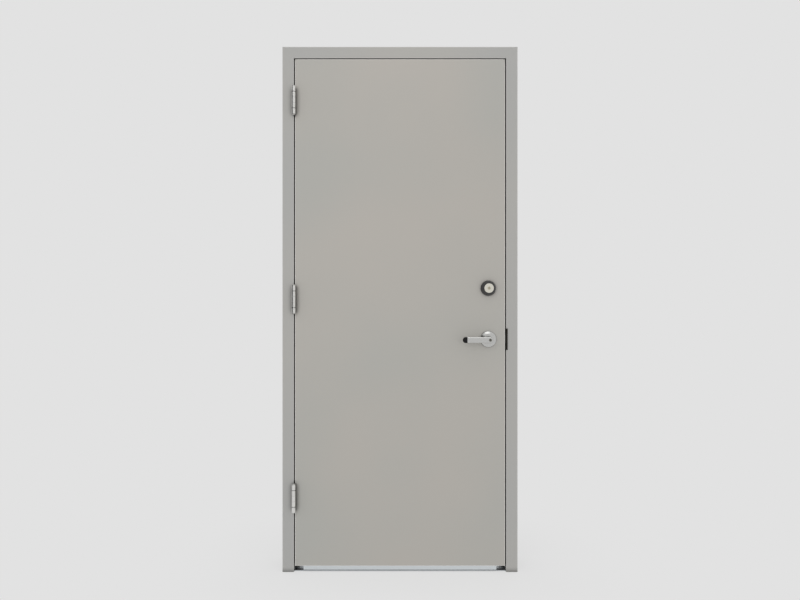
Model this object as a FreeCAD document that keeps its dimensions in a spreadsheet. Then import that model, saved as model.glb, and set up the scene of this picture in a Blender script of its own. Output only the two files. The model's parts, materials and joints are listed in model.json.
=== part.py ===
import FreeCAD, Part
import math
import os
import re

import Sketcher

# A flush steel door leaf hung on three five-knuckle butt hinges in a pressed steel frame, with a keyed
# lever lock, a deadbolt above it and a low saddle threshold.
# Millimetres. The origin lies on the floor, at mid opening and at mid depth of the frame.
# +X runs from the hinge side to the lock side, the pull side faces -Y, and +Z is up.

doc = FreeCAD.newDocument("SteelDoor")
sheet = doc.addObject("Spreadsheet::Sheet", "Sizes")

SIZES = {
    # frame
    "opening_width": 882,  # between the rabbets of the two jambs
    "opening_height": 2136,  # floor to the rabbet of the head
    "face_width": 48,
    "jamb_depth": 146,
    "frame_steel": 1.5,
    "rabbet_depth": 49.2,
    "stop_rise": 15.9,
    "return_depth": 12.7,  # lips turned back against the wall
    "bend_inside": 0.6,  # inside radius of each press-brake bend
    "gusset_length": 90,
    "gusset_width": 30,
    # threshold
    "saddle_height": 6,
    "saddle_setback": 10,  # behind the faces of the frame
    "saddle_bevel": 14,
    "saddle_clearance": 0.5,
    "flute_width": 3,
    "flute_depth": 1,
    "flute_pitch": 9,
    "sill_screw_radius": 2.6,
    "sill_screw_inset": 60,
    "sill_screw_spread": 81,
    # leaf
    "leaf_thickness": 44.5,
    "edge_gap": 4,
    "head_gap": 4,
    "undercut": 26,
    "skin_steel": 1.2,
    "channel_steel": 1.5,
    "channel_leg": 25,
    # hinges
    "hinge_length": 114.3,
    "plate_steel": 3.4,
    "plate_reach": 38.1,  # how far each plate runs into the rabbet
    "pin_projection": 19,  # pin in front of the leaf
    "barrel_radius": 8,
    "pin_radius": 4,
    "pin_fit": 0.05,
    "pin_button_height": 4,
    "pin_button_radius": 6.4,
    "knuckle_gap": 0.3,
    "barrel_clearance": 0.6,
    "bearing_height": 3,
    "top_hinge_drop": 176,  # leaf top to hinge centre
    "bottom_hinge_height": 312,
    # plates welded behind the hinges and strikes
    "backing_steel": 4.8,
    "backing_length": 200,
    "backing_width": 32,
    "backing_inset": 3,
    "joggle_start": 4,  # past the end of the mortised plate
    "joggle_run": 8,
    # screws
    "screw_radius": 2.4,
    "screw_head_radius": 4.8,
    "screw_head_depth": 2.5,
    "screw_length": 12,
    "screw_clearance": 0.1,
    "hinge_screw_near": 16,  # from the leaf face to the nearer row
    "hinge_screw_far": 29,
    "hinge_screw_outer": 44,  # from the hinge centre to the outer pair
    "hinge_screw_inner": 16,
    # lock in its cross bores
    "lever_height": 968,
    "deadbolt_rise": 212,
    "backset": 70,
    "bore_radius": 27,
    "rose_radius": 32.5,
    "rose_depth": 9,
    "rose_edge": 4,
    "rose_shell": 1.5,
    "mounting_plate_steel": 2.5,
    "chassis_radius": 24,
    "chassis_hub_radius": 12.5,
    "through_bolt_radius": 2.5,
    "through_bolt_head": 4.5,
    "through_bolt_offset": 20,
    "shank_radius": 9,
    "shank_depth": 10,  # how far a lever shank enters the leaf
    "run_fit": 0.08,
    "lever_hub_radius": 11.5,
    "lever_front": 61,  # leaf face to the front of the lever
    "lever_grip_depth": 15,
    "lever_grip_height": 24.5,
    "lever_grip_reach": 93,
    "lever_tip_length": 18.6,
    "grip_round": 4.5,
    "plug_radius": 6.3,
    "plug_depth": 14,
    "plug_recess": 0.6,
    "keyway_height": 8.4,
    "keyway_width": 1.8,
    "keyway_depth": 9,
    "button_radius": 5.5,
    "button_projection": 6,
    # latch and deadbolt
    "faceplate_height": 57,
    "faceplate_width": 28.6,
    "faceplate_steel": 3.2,
    "faceplate_screw_spread": 41,
    "faceplate_seat": 0.2,
    "bolt_case_radius": 11.6,
    "bolt_case_bore": 10,
    "bolt_radius": 9.5,
    "latch_thickness": 12.5,
    "latch_throw": 12.7,
    "latch_tail_radius": 3,
    "deadbolt_thickness": 15.8,
    "deadbolt_throw": 25.4,
    "deadbolt_root": 20.6,  # what stays in the case when the bolt is thrown
    "bolt_clearance": 0.4,
    # deadbolt trim
    "collar_radius": 31.5,
    "collar_front_radius": 24.5,
    "collar_depth": 23,
    "collar_mouth_radius": 19.9,
    "collar_shell": 2.5,
    "cylinder_radius": 19.5,
    "cylinder_front": 25,
    "cylinder_depth": 10,  # how far the cylinder body enters the leaf
    "thumb_rose_depth": 8,
    "thumb_hub_radius": 9,
    "thumb_height": 34,
    "thumb_thickness": 8,
    "thumb_round": 2.4,
    "thumb_projection": 24,
    "tailpiece_height": 8,
    "tailpiece_thickness": 2.4,
    "cam_radius": 5.2,
    # strikes
    "strike_height": 124,
    "strike_width": 31.8,
    "strike_steel": 2.4,
    "strike_screw_spread": 104.8,
    "strike_window_height": 30,
    "strike_window_width": 19,
    "lip_height": 88,
    "lip_radius": 5.5,
    "lip_projection": 3,
    "lip_notch_margin": 1,
    "strike_box_spare": 4.6,  # past the thrown deadbolt
    "strike_box_wall": 1,
    "deadbolt_strike_height": 70,
    "deadbolt_strike_screw_spread": 54,
    # seals and anchors
    "gasket_width": 13,
    "gasket_thickness": 4.2,
    "gasket_inset": 1.5,
    "anchor_first": 420,
    "anchor_pitch": 500,
    "anchor_tube_radius": 9,
    "anchor_hole_radius": 5.2,
    "strap_height": 32,
    "strap_steel": 1.5,
    "strap_inset": 4,
    "floor_clip_height": 40,
    "floor_clip_steel": 2.5,
    "floor_clip_hole_radius": 4.5,
    "floor_clip_hole_spread": 70,
    "cut_over": 2,  # how far a cutting tool runs past the face it opens
    "core_clearance": 2,
    "hinge_pocket": 18,
    "lock_box_margin": 10,
    "lock_box_rise": 60,
    "rose_bevel": 9,
    "trim_clearance": 0.5,
    "chassis_hub_rise": 2,
    "bolt_head_height": 2.4,
    "plug_end_play": 0.4,
    "latch_root": 12,
    "latch_nose": 2.5,
    "latch_shoulder": 1.5,
    "latch_tail_gap": 4,
    "cam_box_front": 18,
    "cam_box_back": 12,
    "cam_box_half": 6,
    "bolt_rest": 0.3,
    "thumb_screw_offset": 16,
    "thumb_screw_grip": 5,
    "thumb_hub_rise": 4,
    "thumb_grip_rise": 2.5,  # grip above its rose
    "strike_backing_end": 38,
}

# Lengths and places worked out from the sizes above.
PLACES = {
    "half_opening": "opening_width / 2",
    "half_outside": "half_opening + face_width",
    "outside_top": "opening_height + face_width",
    "frame_front": "0 - jamb_depth / 2",
    "frame_back": "jamb_depth / 2",
    "stop_front": "frame_front + rabbet_depth",
    "stop_back": "frame_back - rabbet_depth",
    "half_clear": "half_opening - stop_rise",
    "leaf_left": "edge_gap - half_opening",
    "leaf_right": "half_opening - edge_gap",
    "leaf_top": "opening_height - head_gap",
    "leaf_front": "frame_front",
    "leaf_back": "leaf_front + leaf_thickness",
    "leaf_middle": "leaf_front + leaf_thickness / 2",
    "pin_x": "edge_gap / 2 - half_opening",
    "pin_y": "leaf_front - pin_projection",
    "plate_end": "leaf_front + plate_reach",
    "top_hinge": "leaf_top - top_hinge_drop",
    "bottom_hinge": "bottom_hinge_height",
    "middle_hinge": "(top_hinge + bottom_hinge) / 2",
    "half_hinge": "hinge_length / 2",
    "knuckle_pitch": "hinge_length / 5",
    "lock_x": "leaf_right - backset",
    "deadbolt_height": "lever_height + deadbolt_rise",
    "bore_left": "lock_x - bore_radius",
    "faceplate_back": "leaf_right - faceplate_steel",
    "strike_back": "half_opening + strike_steel",
    "strike_box_depth": "deadbolt_throw + strike_box_spare",
    "deadbolt_length": "deadbolt_root + deadbolt_throw",
    "bearing_end": "(bearing_height + knuckle_gap / 2) / 2",
    "core_left": "leaf_left + skin_steel + bend_inside",
    "core_right": "leaf_right - skin_steel - bend_inside",
    "skin_front": "leaf_front + skin_steel",
    "skin_back": "leaf_back - skin_steel",
    "lever_face": "leaf_front - lever_front",
}


def expression(text):
    """Turn a formula in the names above into one that the document can follow."""
    def spelled(match):
        name = match.group(0)
        if name in PLACES:
            return f"({expression(PLACES[name])})"
        return f"Sizes.{name}" if name in SIZES else name
    return re.sub(r"[a-z][a-z_]*", spelled, str(text))


def value(text):
    return float(sheet.evalExpression(expression(text)))


def bind(item, field, text):
    item.setExpression(field, expression(text))
    return item


def put(item, x=0, y=0, z=0):
    """Tie where an object stands to the sheet."""
    for axis, text in zip("xyz", (x, y, z)):
        bind(item, f"Placement.Base.{axis}", text)
    return item


# ---- solids ----

NEAR = 0.001

ACROSS = {
    "X": FreeCAD.Rotation(FreeCAD.Vector(0, 1, 0), 90),
    "Y": FreeCAD.Rotation(FreeCAD.Vector(1, 0, 0), -90),
    "Z": FreeCAD.Rotation(),
}


def block(name, x, y, z):
    """A box between two places along each axis."""
    item = doc.addObject("Part::Box", name)
    for field, (low, high) in zip(("Length", "Width", "Height"), (x, y, z)):
        bind(item, field, f"({high}) - ({low})")
    return put(item, x[0], y[0], z[0])


def rod(name, axis, start, radius, length):
    """A cylinder along an axis, from the middle of its low end."""
    item = doc.addObject("Part::Cylinder", name)
    item.Placement.Rotation = ACROSS[axis]
    bind(item, "Radius", radius)
    bind(item, "Height", length)
    return put(item, *start)


def joined(name, pieces):
    item = doc.addObject("Part::MultiFuse", name)
    item.Shapes = pieces
    return item


def cut(name, base, *tools):
    item = doc.addObject("Part::Cut", name)
    item.Base = base
    item.Tool = tools[0] if len(tools) == 1 else joined(f"{name}Tools", list(tools))
    return item


def shared(name, first, second):
    item = doc.addObject("Part::Common", name)
    item.Base = first
    item.Tool = second
    return item


def group(name, pieces):
    """Several separate solids that make one sub-part."""
    item = doc.addObject("Part::Compound", name)
    item.Links = pieces
    return item


def copies(name, master, places):
    """The same piece standing in several places."""
    links = []
    for number, place in enumerate(places, 1):
        link = doc.addObject("App::Link", f"{name}Copy{number}")
        link.LinkedObject = master
        links.append(put(link, *place))
    return group(name, links)


# ---- sketched solids ----

def new_body(name):
    return doc.addObject("PartDesign::Body", name)


def new_sketch(body, name, plane):
    sketch = body.newObject("Sketcher::SketchObject", name)
    origin_plane = next(item for item in body.Origin.OriginFeatures if item.Role == f"{plane}_Plane")
    sketch.AttachmentSupport = [(origin_plane, "")]
    sketch.MapMode = "FlatFace"
    return sketch


def fix_point(sketch, line, across, up, point=1):
    """Hold a point of a line or circle, its start by default, at two formulas from the sketch origin."""
    for kind, text in (("DistanceX", across), ("DistanceY", up)):
        index = sketch.addConstraint(Sketcher.Constraint(kind, -1, 1, line, point, value(text)))
        bind(sketch, f"Constraints[{index}]", text)


def outline(body, name, plane, corners):
    """A closed run of straight lines through corners given by formulas."""
    sketch = new_sketch(body, name, plane)
    points = [FreeCAD.Vector(value(across), value(up), 0) for across, up in corners]
    count = len(points)
    for index, start in enumerate(points):
        sketch.addGeometry(Part.LineSegment(start, points[(index + 1) % count]))
    for index, (across, up) in enumerate(corners):
        sketch.addConstraint(Sketcher.Constraint("Coincident", index, 2, (index + 1) % count, 1))
        fix_point(sketch, index, across, up)
    return sketch


def bullet(body, name, flat, centre, half, way):
    """A bar's outline in the XZ plane: square at flat, closed by a half circle about centre.

    way is 1 where the half circle bulges toward +X and -1 toward -X.
    """
    sketch = new_sketch(body, name, "XZ")
    near, far, radius = value(flat), value(centre), value(half)
    low = FreeCAD.Vector(far, -radius, 0)
    high = FreeCAD.Vector(far, radius, 0)
    flat_low = FreeCAD.Vector(near, -radius, 0)
    flat_high = FreeCAD.Vector(near, radius, 0)
    peak = FreeCAD.Vector(far + way * radius, 0, 0)
    arc = Part.Arc(low, peak, high) if way > 0 else Part.Arc(high, peak, low)
    for line in (Part.LineSegment(flat_low, low), arc, Part.LineSegment(high, flat_high),
                 Part.LineSegment(flat_high, flat_low)):
        sketch.addGeometry(line)
    arc_low, arc_high = (1, 2) if way > 0 else (2, 1)
    for ends in ((0, 2, 1, arc_low), (1, arc_high, 2, 1), (2, 2, 3, 1), (3, 2, 0, 1)):
        sketch.addConstraint(Sketcher.Constraint("Coincident", *ends))
    fix_point(sketch, 0, flat, f"0 - {half}")
    fix_point(sketch, 0, centre, f"0 - {half}", 2)
    fix_point(sketch, 2, centre, half)
    fix_point(sketch, 3, flat, half)
    index = sketch.addConstraint(Sketcher.Constraint("DistanceX", -1, 1, 1, 3, far))
    bind(sketch, f"Constraints[{index}]", centre)
    return sketch


def padded(body, sketch, length):
    pad = body.newObject("PartDesign::Pad", f"{sketch.Name}Pad")
    pad.Profile = sketch
    bind(pad, "Length", length)
    return pad


def prism(name, plane, corners, low, high):
    """An outline padded between two places along the axis that its plane leaves out."""
    body = new_body(name)
    padded(body, outline(body, f"{name}Outline", plane, corners), f"({high}) - ({low})")
    axis, start = {"XY": ("z", low), "XZ": ("y", high), "YZ": ("x", low)}[plane]
    bind(body, f"Placement.Base.{axis}", start)
    return body


def turned(name, axis, profile):
    """A profile of (place along the axis, radius) pairs revolved about that axis."""
    body = new_body(name)
    if axis == "X":
        sketch = outline(body, f"{name}Profile", "XY", profile)
        about = "H_Axis"
    else:
        plane = "XY" if axis == "Y" else "XZ"
        sketch = outline(body, f"{name}Profile", plane, [(radius, along) for along, radius in profile])
        about = "V_Axis"
    turn = body.newObject("PartDesign::Revolution", f"{name}Turn")
    turn.Profile = sketch
    turn.ReferenceAxis = (sketch, [about])
    turn.Angle = 360
    return body


def softened(body, name, radius, chosen):
    """Round the edges of the body so far that a test picks."""
    doc.recompute()
    base = body.Tip
    edges = [f"Edge{number}" for number, edge in enumerate(base.Shape.Edges, 1) if chosen(edge)]
    fillet = body.newObject("PartDesign::Fillet", name)
    fillet.Base = (base, edges)
    bind(fillet, "Radius", radius)
    return fillet


# ---- pressed steel frame ----

def pressed(name, plane, walked, steel, low, high):
    """Bent sheet: each corner of the section is marked as on the outside or inside of a bend, or an end."""
    body = prism(name, plane, [(across, up) for across, up, _ in walked], low, high)
    axes = plane.lower()
    for mark, radius in (("outside", f"bend_inside + {steel}"), ("inside", "bend_inside")):
        bends = [(value(across), value(up)) for across, up, place in walked if place == mark]

        def on_bend(edge):
            ends = [[getattr(vertex.Point, axis) for axis in axes] for vertex in edge.Vertexes]
            return any(all(math.dist(end, bend) < NEAR for end in ends) for bend in bends)

        softened(body, f"{name}{mark.title()}Bends", radius, on_bend)
    return body


def frame_section(to_sketch):
    """The double-rabbet section, walked round its outside and back along its inside.

    Each corner is how far it lies outside the rabbet face, how deep it lies in the wall, and its side of
    the bend there.
    """
    lip = "face_width - frame_steel"
    inner_stop = "frame_steel - stop_rise"
    corners = [
        ("face_width", "frame_front + return_depth", "end"),
        ("face_width", "frame_front", "outside"),
        ("0", "frame_front", "outside"),
        ("0", "stop_front", "inside"),
        ("0 - stop_rise", "stop_front", "outside"),
        ("0 - stop_rise", "stop_back", "outside"),
        ("0", "stop_back", "inside"),
        ("0", "frame_back", "outside"),
        ("face_width", "frame_back", "outside"),
        ("face_width", "frame_back - return_depth", "end"),
        (lip, "frame_back - return_depth", "end"),
        (lip, "frame_back - frame_steel", "inside"),
        ("frame_steel", "frame_back - frame_steel", "inside"),
        ("frame_steel", "stop_back - frame_steel", "outside"),
        (inner_stop, "stop_back - frame_steel", "inside"),
        (inner_stop, "stop_front + frame_steel", "inside"),
        ("frame_steel", "stop_front + frame_steel", "outside"),
        ("frame_steel", "frame_front + frame_steel", "inside"),
        (lip, "frame_front + frame_steel", "inside"),
        (lip, "frame_front + return_depth", "end"),
    ]
    return [(*to_sketch(across, depth), place) for across, depth, place in corners]


def mitre_tool(name, side, keeps_head):
    """The wedge beyond the mitre, which runs from the outer corner of the frame to its stop."""
    run = "face_width + stop_rise + cut_over"
    outer = f"{side} * half_outside"
    inner = f"{side} * (half_outside - ({run}))"
    low = f"outside_top - ({run})"
    spare = f"{side} * (half_outside + cut_over)"
    if keeps_head:
        corners = [(outer, "outside_top"), (inner, low), (spare, low), (spare, "outside_top")]
    else:
        corners = [(outer, "outside_top"), (inner, low), (inner, "outside_top")]
    return prism(name, "XZ", corners, "frame_front - cut_over", "frame_back + cut_over")


def hinge_heights():
    return {"Top": "top_hinge", "Middle": "middle_hinge", "Bottom": "bottom_hinge"}


def hinge_prep(name, height, side):
    """The cut that lets one plate of a hinge lie flush: side -1 in the jamb, 1 in the leaf edge."""
    face = "0 - half_opening" if side < 0 else "leaf_left"
    back = f"{face} + {side} * plate_steel"
    x = (back, f"{face} + cut_over") if side < 0 else (f"{face} - cut_over", back)
    y = ("leaf_front - cut_over", "plate_end")
    return block(name, x, y, (f"{height} - half_hinge", f"{height} + half_hinge"))


def anchor_heights():
    return [f"anchor_first + {step} * anchor_pitch" for step in range(4)]


def anchor_holes(name, side):
    start = "half_clear - cut_over" if side > 0 else "0 - half_opening"
    length = "stop_rise + cut_over"
    holes = [
        rod(f"{name}{number}", "X", (start, "0", height), "anchor_hole_radius", length)
        for number, height in enumerate(anchor_heights(), 1)
    ]
    return holes


def make_jamb(name, side):
    section = frame_section(lambda across, depth: (f"{side} * (half_opening + {across})", depth))
    blank = pressed(f"{name}Blank", "XY", section, "frame_steel", "0", "outside_top")
    tools = [mitre_tool(f"{name}Mitre", side, False)] + anchor_holes(f"{name}Anchor", side)
    if side < 0:
        for label, height in hinge_heights().items():
            tools.append(hinge_prep(f"{name}{label}Prep", height, -1))
    else:
        tools += strike_preps(name)
    return cut(name, blank, *tools)


def make_head():
    section = frame_section(lambda across, depth: (depth, f"opening_height + {across}"))
    blank = pressed("HeadBlank", "YZ", section, "frame_steel", "0 - half_outside", "half_outside")
    tools = [mitre_tool(f"HeadMitre{label}", side, True) for label, side in (("Hinge", -1), ("Strike", 1))]
    return cut("frame_head", blank, *tools)


def make_corner_gussets():
    """Angles welded inside the faces across each mitre."""
    gussets = []
    edge = "half_outside - frame_steel - bend_inside"
    top = "outside_top - frame_steel - bend_inside"
    for label, side in (("Hinge", -1), ("Strike", 1)):
        corners = [
            (f"{side} * ({edge})", top),
            (f"{side} * ({edge} - gusset_length)", top),
            (f"{side} * ({edge} - gusset_length)", f"{top} - gusset_width"),
            (f"{side} * ({edge} - gusset_width)", f"{top} - gusset_width"),
            (f"{side} * ({edge} - gusset_width)", f"{top} - gusset_length"),
            (f"{side} * ({edge})", f"{top} - gusset_length"),
        ]
        front = ("frame_front + frame_steel", "frame_front + 2 * frame_steel")
        back = ("frame_back - 2 * frame_steel", "frame_back - frame_steel")
        gussets.append(prism(f"Gusset{label}Front", "XZ", corners, *front))
        gussets.append(prism(f"Gusset{label}Back", "XZ", corners, *back))
    return group("corner_gussets", gussets)


def backing_plate(name, side, face, seat, steel_face, height, length, y):
    """A joggled plate welded behind the sheet at both ends, its middle set back to seat a mortised plate.

    face is where the sheet's inner side lies and seat where the mortised plate's back lies.
    """
    half = f"({length}) / 2"
    near = f"{steel_face} / 2 + joggle_start"
    far = f"{near} + joggle_run"
    inner = [(face, half), (face, far), (seat, near)]
    thick = f"{side} * backing_steel"
    up = [(across, f"{height} + {z}") for across, z in inner]
    down = [(across, f"{height} - ({z})") for across, z in reversed(inner)]
    back_down = [(f"{across} + {thick}", z) for across, z in reversed(down)]
    back_up = [(f"{across} + {thick}", z) for across, z in reversed(up)]
    return prism(name, "XZ", up + down + back_down + back_up, *y)


def hinge_backing(name, height, side):
    face = "0 - half_opening - frame_steel" if side < 0 else "leaf_left + skin_steel"
    seat = "0 - half_opening - plate_steel" if side < 0 else "leaf_left + plate_steel"
    y = ("leaf_front + backing_inset", "leaf_front + backing_inset + backing_width")
    return backing_plate(name, side, face, seat, "hinge_length", height, "backing_length", y)


def make_hinge_backings(name, side, holes):
    plates = [hinge_backing(f"{name}{label}", height, side) for label, height in hinge_heights().items()]
    return cut(name, group(f"{name}Plates", plates), holes)


def make_wall_anchors():
    """Tubes behind the anchor holes, each on a strap across the throat of its jamb."""
    anchors = []
    for label, side in (("Hinge", -1), ("Strike", 1)):
        for number, height in enumerate(anchor_heights(), 1):
            stem = f"Anchor{label}{number}"
            outer = f"{side} * (half_outside - strap_inset)"
            inner = f"{side} * (half_outside - strap_inset - strap_steel)"
            x = (outer, inner) if side < 0 else (inner, outer)
            y = ("frame_front + frame_steel", "frame_back - frame_steel")
            z = (f"{height} - strap_height / 2", f"{height} + strap_height / 2")
            strap = block(f"{stem}Strap", x, y, z)
            near = "half_clear + frame_steel"
            length = f"half_outside - strap_inset - ({near})"
            start = ("0 - half_outside + strap_inset" if side < 0 else near, "0", height)
            tube = rod(f"{stem}Tube", "X", start, "anchor_tube_radius", length)
            way = rod(f"{stem}Way", "X", start, "anchor_hole_radius", length)
            anchors.append(cut(stem, joined(f"{stem}Blank", [strap, tube]), way))
    return group("wall_anchors", anchors)


def make_floor_anchors():
    """Angles welded across the foot of each jamb, drilled for the floor."""
    clips = []
    for label, side in (("Hinge", -1), ("Strike", 1)):
        stem = f"FloorClip{label}"
        wall = f"{side} * (half_opening + frame_steel)"
        rise = f"{side} * (half_opening + frame_steel + floor_clip_steel)"
        toe = f"{side} * (half_outside - frame_steel - bend_inside)"
        corners = [
            (wall, "0"),
            (toe, "0"),
            (toe, "floor_clip_steel"),
            (rise, "floor_clip_steel"),
            (rise, "floor_clip_height"),
            (wall, "floor_clip_height"),
        ]
        y = ("frame_front + frame_steel + bend_inside", "frame_back - frame_steel - bend_inside")
        blank = prism(f"{stem}Blank", "XZ", corners, *y)
        middle = f"{side} * (half_opening + face_width / 2)"
        holes = [
            rod(f"{stem}Hole{end}", "Z", (middle, f"{way} * floor_clip_hole_spread / 2", "0"),
                "floor_clip_hole_radius", "floor_clip_steel")
            for end, way in (("Front", -1), ("Back", 1))
        ]
        clips.append(cut(stem, blank, *holes))
    return group("floor_anchors", clips)


def make_threshold():
    """A fluted saddle coped round the stops of both jambs."""
    front = "frame_front + saddle_setback"
    back = "frame_back - saddle_setback"
    corners = [
        (front, "0"),
        (back, "0"),
        (back, "saddle_height / 2"),
        (f"{back} - saddle_bevel", "saddle_height"),
        (f"{front} + saddle_bevel", "saddle_height"),
        (front, "saddle_height / 2"),
    ]
    half = "half_opening - saddle_clearance"
    blank = prism("SaddleBlank", "YZ", corners, f"0 - ({half})", half)
    tools = []
    for label, side in (("Hinge", -1), ("Strike", 1)):
        cope = "half_clear - saddle_clearance"
        end = "half_opening + cut_over"
        x = (f"0 - ({end})", f"0 - ({cope})") if side < 0 else (cope, end)
        y = ("stop_front - saddle_clearance", "stop_back + saddle_clearance")
        tools.append(block(f"SaddleCope{label}", x, y, ("0 - cut_over", "saddle_height + cut_over")))
    for step in range(-5, 6):
        middle = f"{step} * flute_pitch"
        y = (f"{middle} - flute_width / 2", f"{middle} + flute_width / 2")
        x = ("0 - half_opening - cut_over", "half_opening + cut_over")
        z = ("saddle_height - flute_depth", "saddle_height + cut_over")
        tools.append(block(f"SaddleFlute{step + 6}", x, y, z))
    for label_x, way_x in (("Left", -1), ("Right", 1)):
        for label_y, way_y in (("Front", -1), ("Back", 1)):
            start = (
                f"{way_x} * (half_clear - sill_screw_inset)",
                f"{way_y} * sill_screw_spread / 2",
                "0 - cut_over",
            )
            hole = rod(f"SaddleHole{label_x}{label_y}", "Z", start, "sill_screw_radius",
                       "saddle_height + 2 * cut_over")
            tools.append(hole)
    return cut("threshold", blank, *tools)


def make_gaskets():
    """Black seals on the stops, which the closed leaf nearly meets."""
    y = ("stop_front - gasket_thickness", "stop_front")
    low = "saddle_height + saddle_clearance"
    inner = "half_clear + gasket_inset"
    outer = f"{inner} + gasket_width"
    top = "opening_height - stop_rise + gasket_inset"
    hinge = block("gasket_hinge_side", (f"0 - ({outer})", f"0 - ({inner})"), y, (low, top))
    strike = block("gasket_strike_side", (inner, outer), y, (low, top))
    head = block("gasket_head", (f"0 - ({outer})", outer), y, (top, f"{top} + gasket_width"))
    return [hinge, strike, head]


# ---- screws ----

def screw(name, way, length="screw_length", extra="0"):
    """A flat-head screw along X, its head flush at the origin and its shank running toward way."""
    shank = f"screw_radius + {extra}"
    head = f"screw_head_radius + {extra}"
    return turned(name, "X", [
        ("0", "0"),
        ("0", head),
        (f"{way} * screw_head_depth", shank),
        (f"{way} * ({length})", shank),
        (f"{way} * ({length})", "0"),
    ])


def screw_hole(name, way):
    return screw(name, way, length="screw_length + cut_over", extra="screw_clearance")


def hinge_screw_places(face):
    places = []
    for height in hinge_heights().values():
        for side in (-1, 1):
            outer = f"{height} + {side} * hinge_screw_outer"
            inner = f"{height} + {side} * hinge_screw_inner"
            places.append((face, "leaf_front + hinge_screw_near", outer))
            places.append((face, "leaf_front + hinge_screw_far", inner))
    return places


# ---- hinges ----

def knuckle_range(height, index):
    """Low and high end of one of the five knuckles, counted from the bottom."""
    low = f"{height} - half_hinge + {index} * knuckle_pitch"
    high = f"{height} - half_hinge + {index + 1} * knuckle_pitch"
    if index > 0:
        low += " + knuckle_gap / 2"
    if index < 4:
        high += " - knuckle_gap / 2"
    if index == 1:
        low += " + bearing_end"
    if index == 3:
        high += " - bearing_end"
    if index == 0:
        high += " - bearing_end"
    if index == 4:
        low += " + bearing_end"
    return low, high


def make_hinge_leaf(name, height, side, knuckles, holes):
    """A plate with its share of the knuckles: side -1 is fixed to the jamb, 1 to the leaf."""
    face = "0 - half_opening" if side < 0 else "leaf_left"
    back = f"{face} + {side} * plate_steel"
    x = (back, face) if side < 0 else (face, back)
    z = (f"{height} - half_hinge", f"{height} + half_hinge")
    plate = block(f"{name}Plate", x, ("pin_y", "plate_end"), z)
    barrels = []
    gaps = []
    reach = "barrel_radius + barrel_clearance"
    for index in range(5):
        low, high = knuckle_range(height, index)
        if index in knuckles:
            barrels.append(rod(f"{name}Knuckle{index + 1}", "Z", ("pin_x", "pin_y", low),
                               "barrel_radius", f"({high}) - ({low})"))
        else:
            below = knuckle_range(height, index - 1)[1] if index > 0 else f"{height} - half_hinge - cut_over"
            above = knuckle_range(height, index + 1)[0] if index < 4 else f"{height} + half_hinge + cut_over"
            gaps.append(block(f"{name}Gap{index + 1}", (f"pin_x - ({reach})", f"pin_x + {reach}"),
                              (f"pin_y - ({reach})", f"pin_y + {reach}"), (below, above)))
    start = ("pin_x", "pin_y", f"{height} - half_hinge - cut_over")
    bore = rod(f"{name}Bore", "Z", start, "pin_radius + pin_fit", "hinge_length + 2 * cut_over")
    whole = joined(f"{name}Whole", [cut(f"{name}Notched", plate, *gaps)] + barrels)
    return cut(name, whole, bore, holes)


def make_hinges(frame_holes, leaf_holes):
    parts = []
    for label, height in hinge_heights().items():
        stem = label.lower()
        parts.append(make_hinge_leaf(f"{stem}_hinge_frame_leaf", height, -1, (0, 2, 4), frame_holes))
        parts.append(make_hinge_leaf(f"{stem}_hinge_door_leaf", height, 1, (1, 3), leaf_holes))
    return parts


def make_hinge_pins():
    """Pins with a button at each end, seated on the end knuckles."""
    reach = "half_hinge + pin_button_height"
    neck = "half_hinge"
    pin = turned("HingePin", "Z", [
        (f"0 - ({reach})", "0"),
        (f"0 - ({reach})", "pin_button_radius / 2"),
        (f"0 - {neck} - pin_button_height / 2", "pin_button_radius"),
        (f"0 - {neck}", "pin_button_radius"),
        (f"0 - {neck}", "pin_radius"),
        (neck, "pin_radius"),
        (neck, "pin_button_radius"),
        (f"{neck} + pin_button_height / 2", "pin_button_radius"),
        (reach, "pin_button_radius / 2"),
        (reach, "0"),
    ])
    return copies("hinge_pins", pin, [("pin_x", "pin_y", height) for height in hinge_heights().values()])


def make_hinge_bearings():
    """A bearing ring under the upper leaf knuckle's end joint and one under the lower."""
    blank = rod("BearingBlank", "Z", ("0", "0", "0"), "barrel_radius - barrel_clearance", "bearing_height")
    bore = rod("BearingBore", "Z", ("0", "0", "0 - cut_over"), "pin_radius + pin_fit",
               "bearing_height + 2 * cut_over")
    master = cut("Bearing", blank, bore)
    places = []
    for height in hinge_heights().values():
        for index in (0, 3):
            low = knuckle_range(height, index)[1]
            high = knuckle_range(height, index + 1)[0]
            places.append(("pin_x", "pin_y", f"(({low}) + ({high}) - bearing_height) / 2"))
    return copies("hinge_bearings", master, places)


# ---- leaf ----

def make_skin(name, face, inner, holes):
    """A pan: one face sheet with its two long edges turned in to meet the other skin at mid edge."""
    corners = [
        ("leaf_left", "leaf_middle", "end"),
        ("leaf_left", face, "outside"),
        ("leaf_right", face, "outside"),
        ("leaf_right", "leaf_middle", "end"),
        ("leaf_right - skin_steel", "leaf_middle", "end"),
        ("leaf_right - skin_steel", inner, "inside"),
        ("leaf_left + skin_steel", inner, "inside"),
        ("leaf_left + skin_steel", "leaf_middle", "end"),
    ]
    blank = pressed(f"{name}Blank", "XY", corners, "skin_steel", "undercut", "leaf_top")
    return cut(name, blank, *holes)


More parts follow.
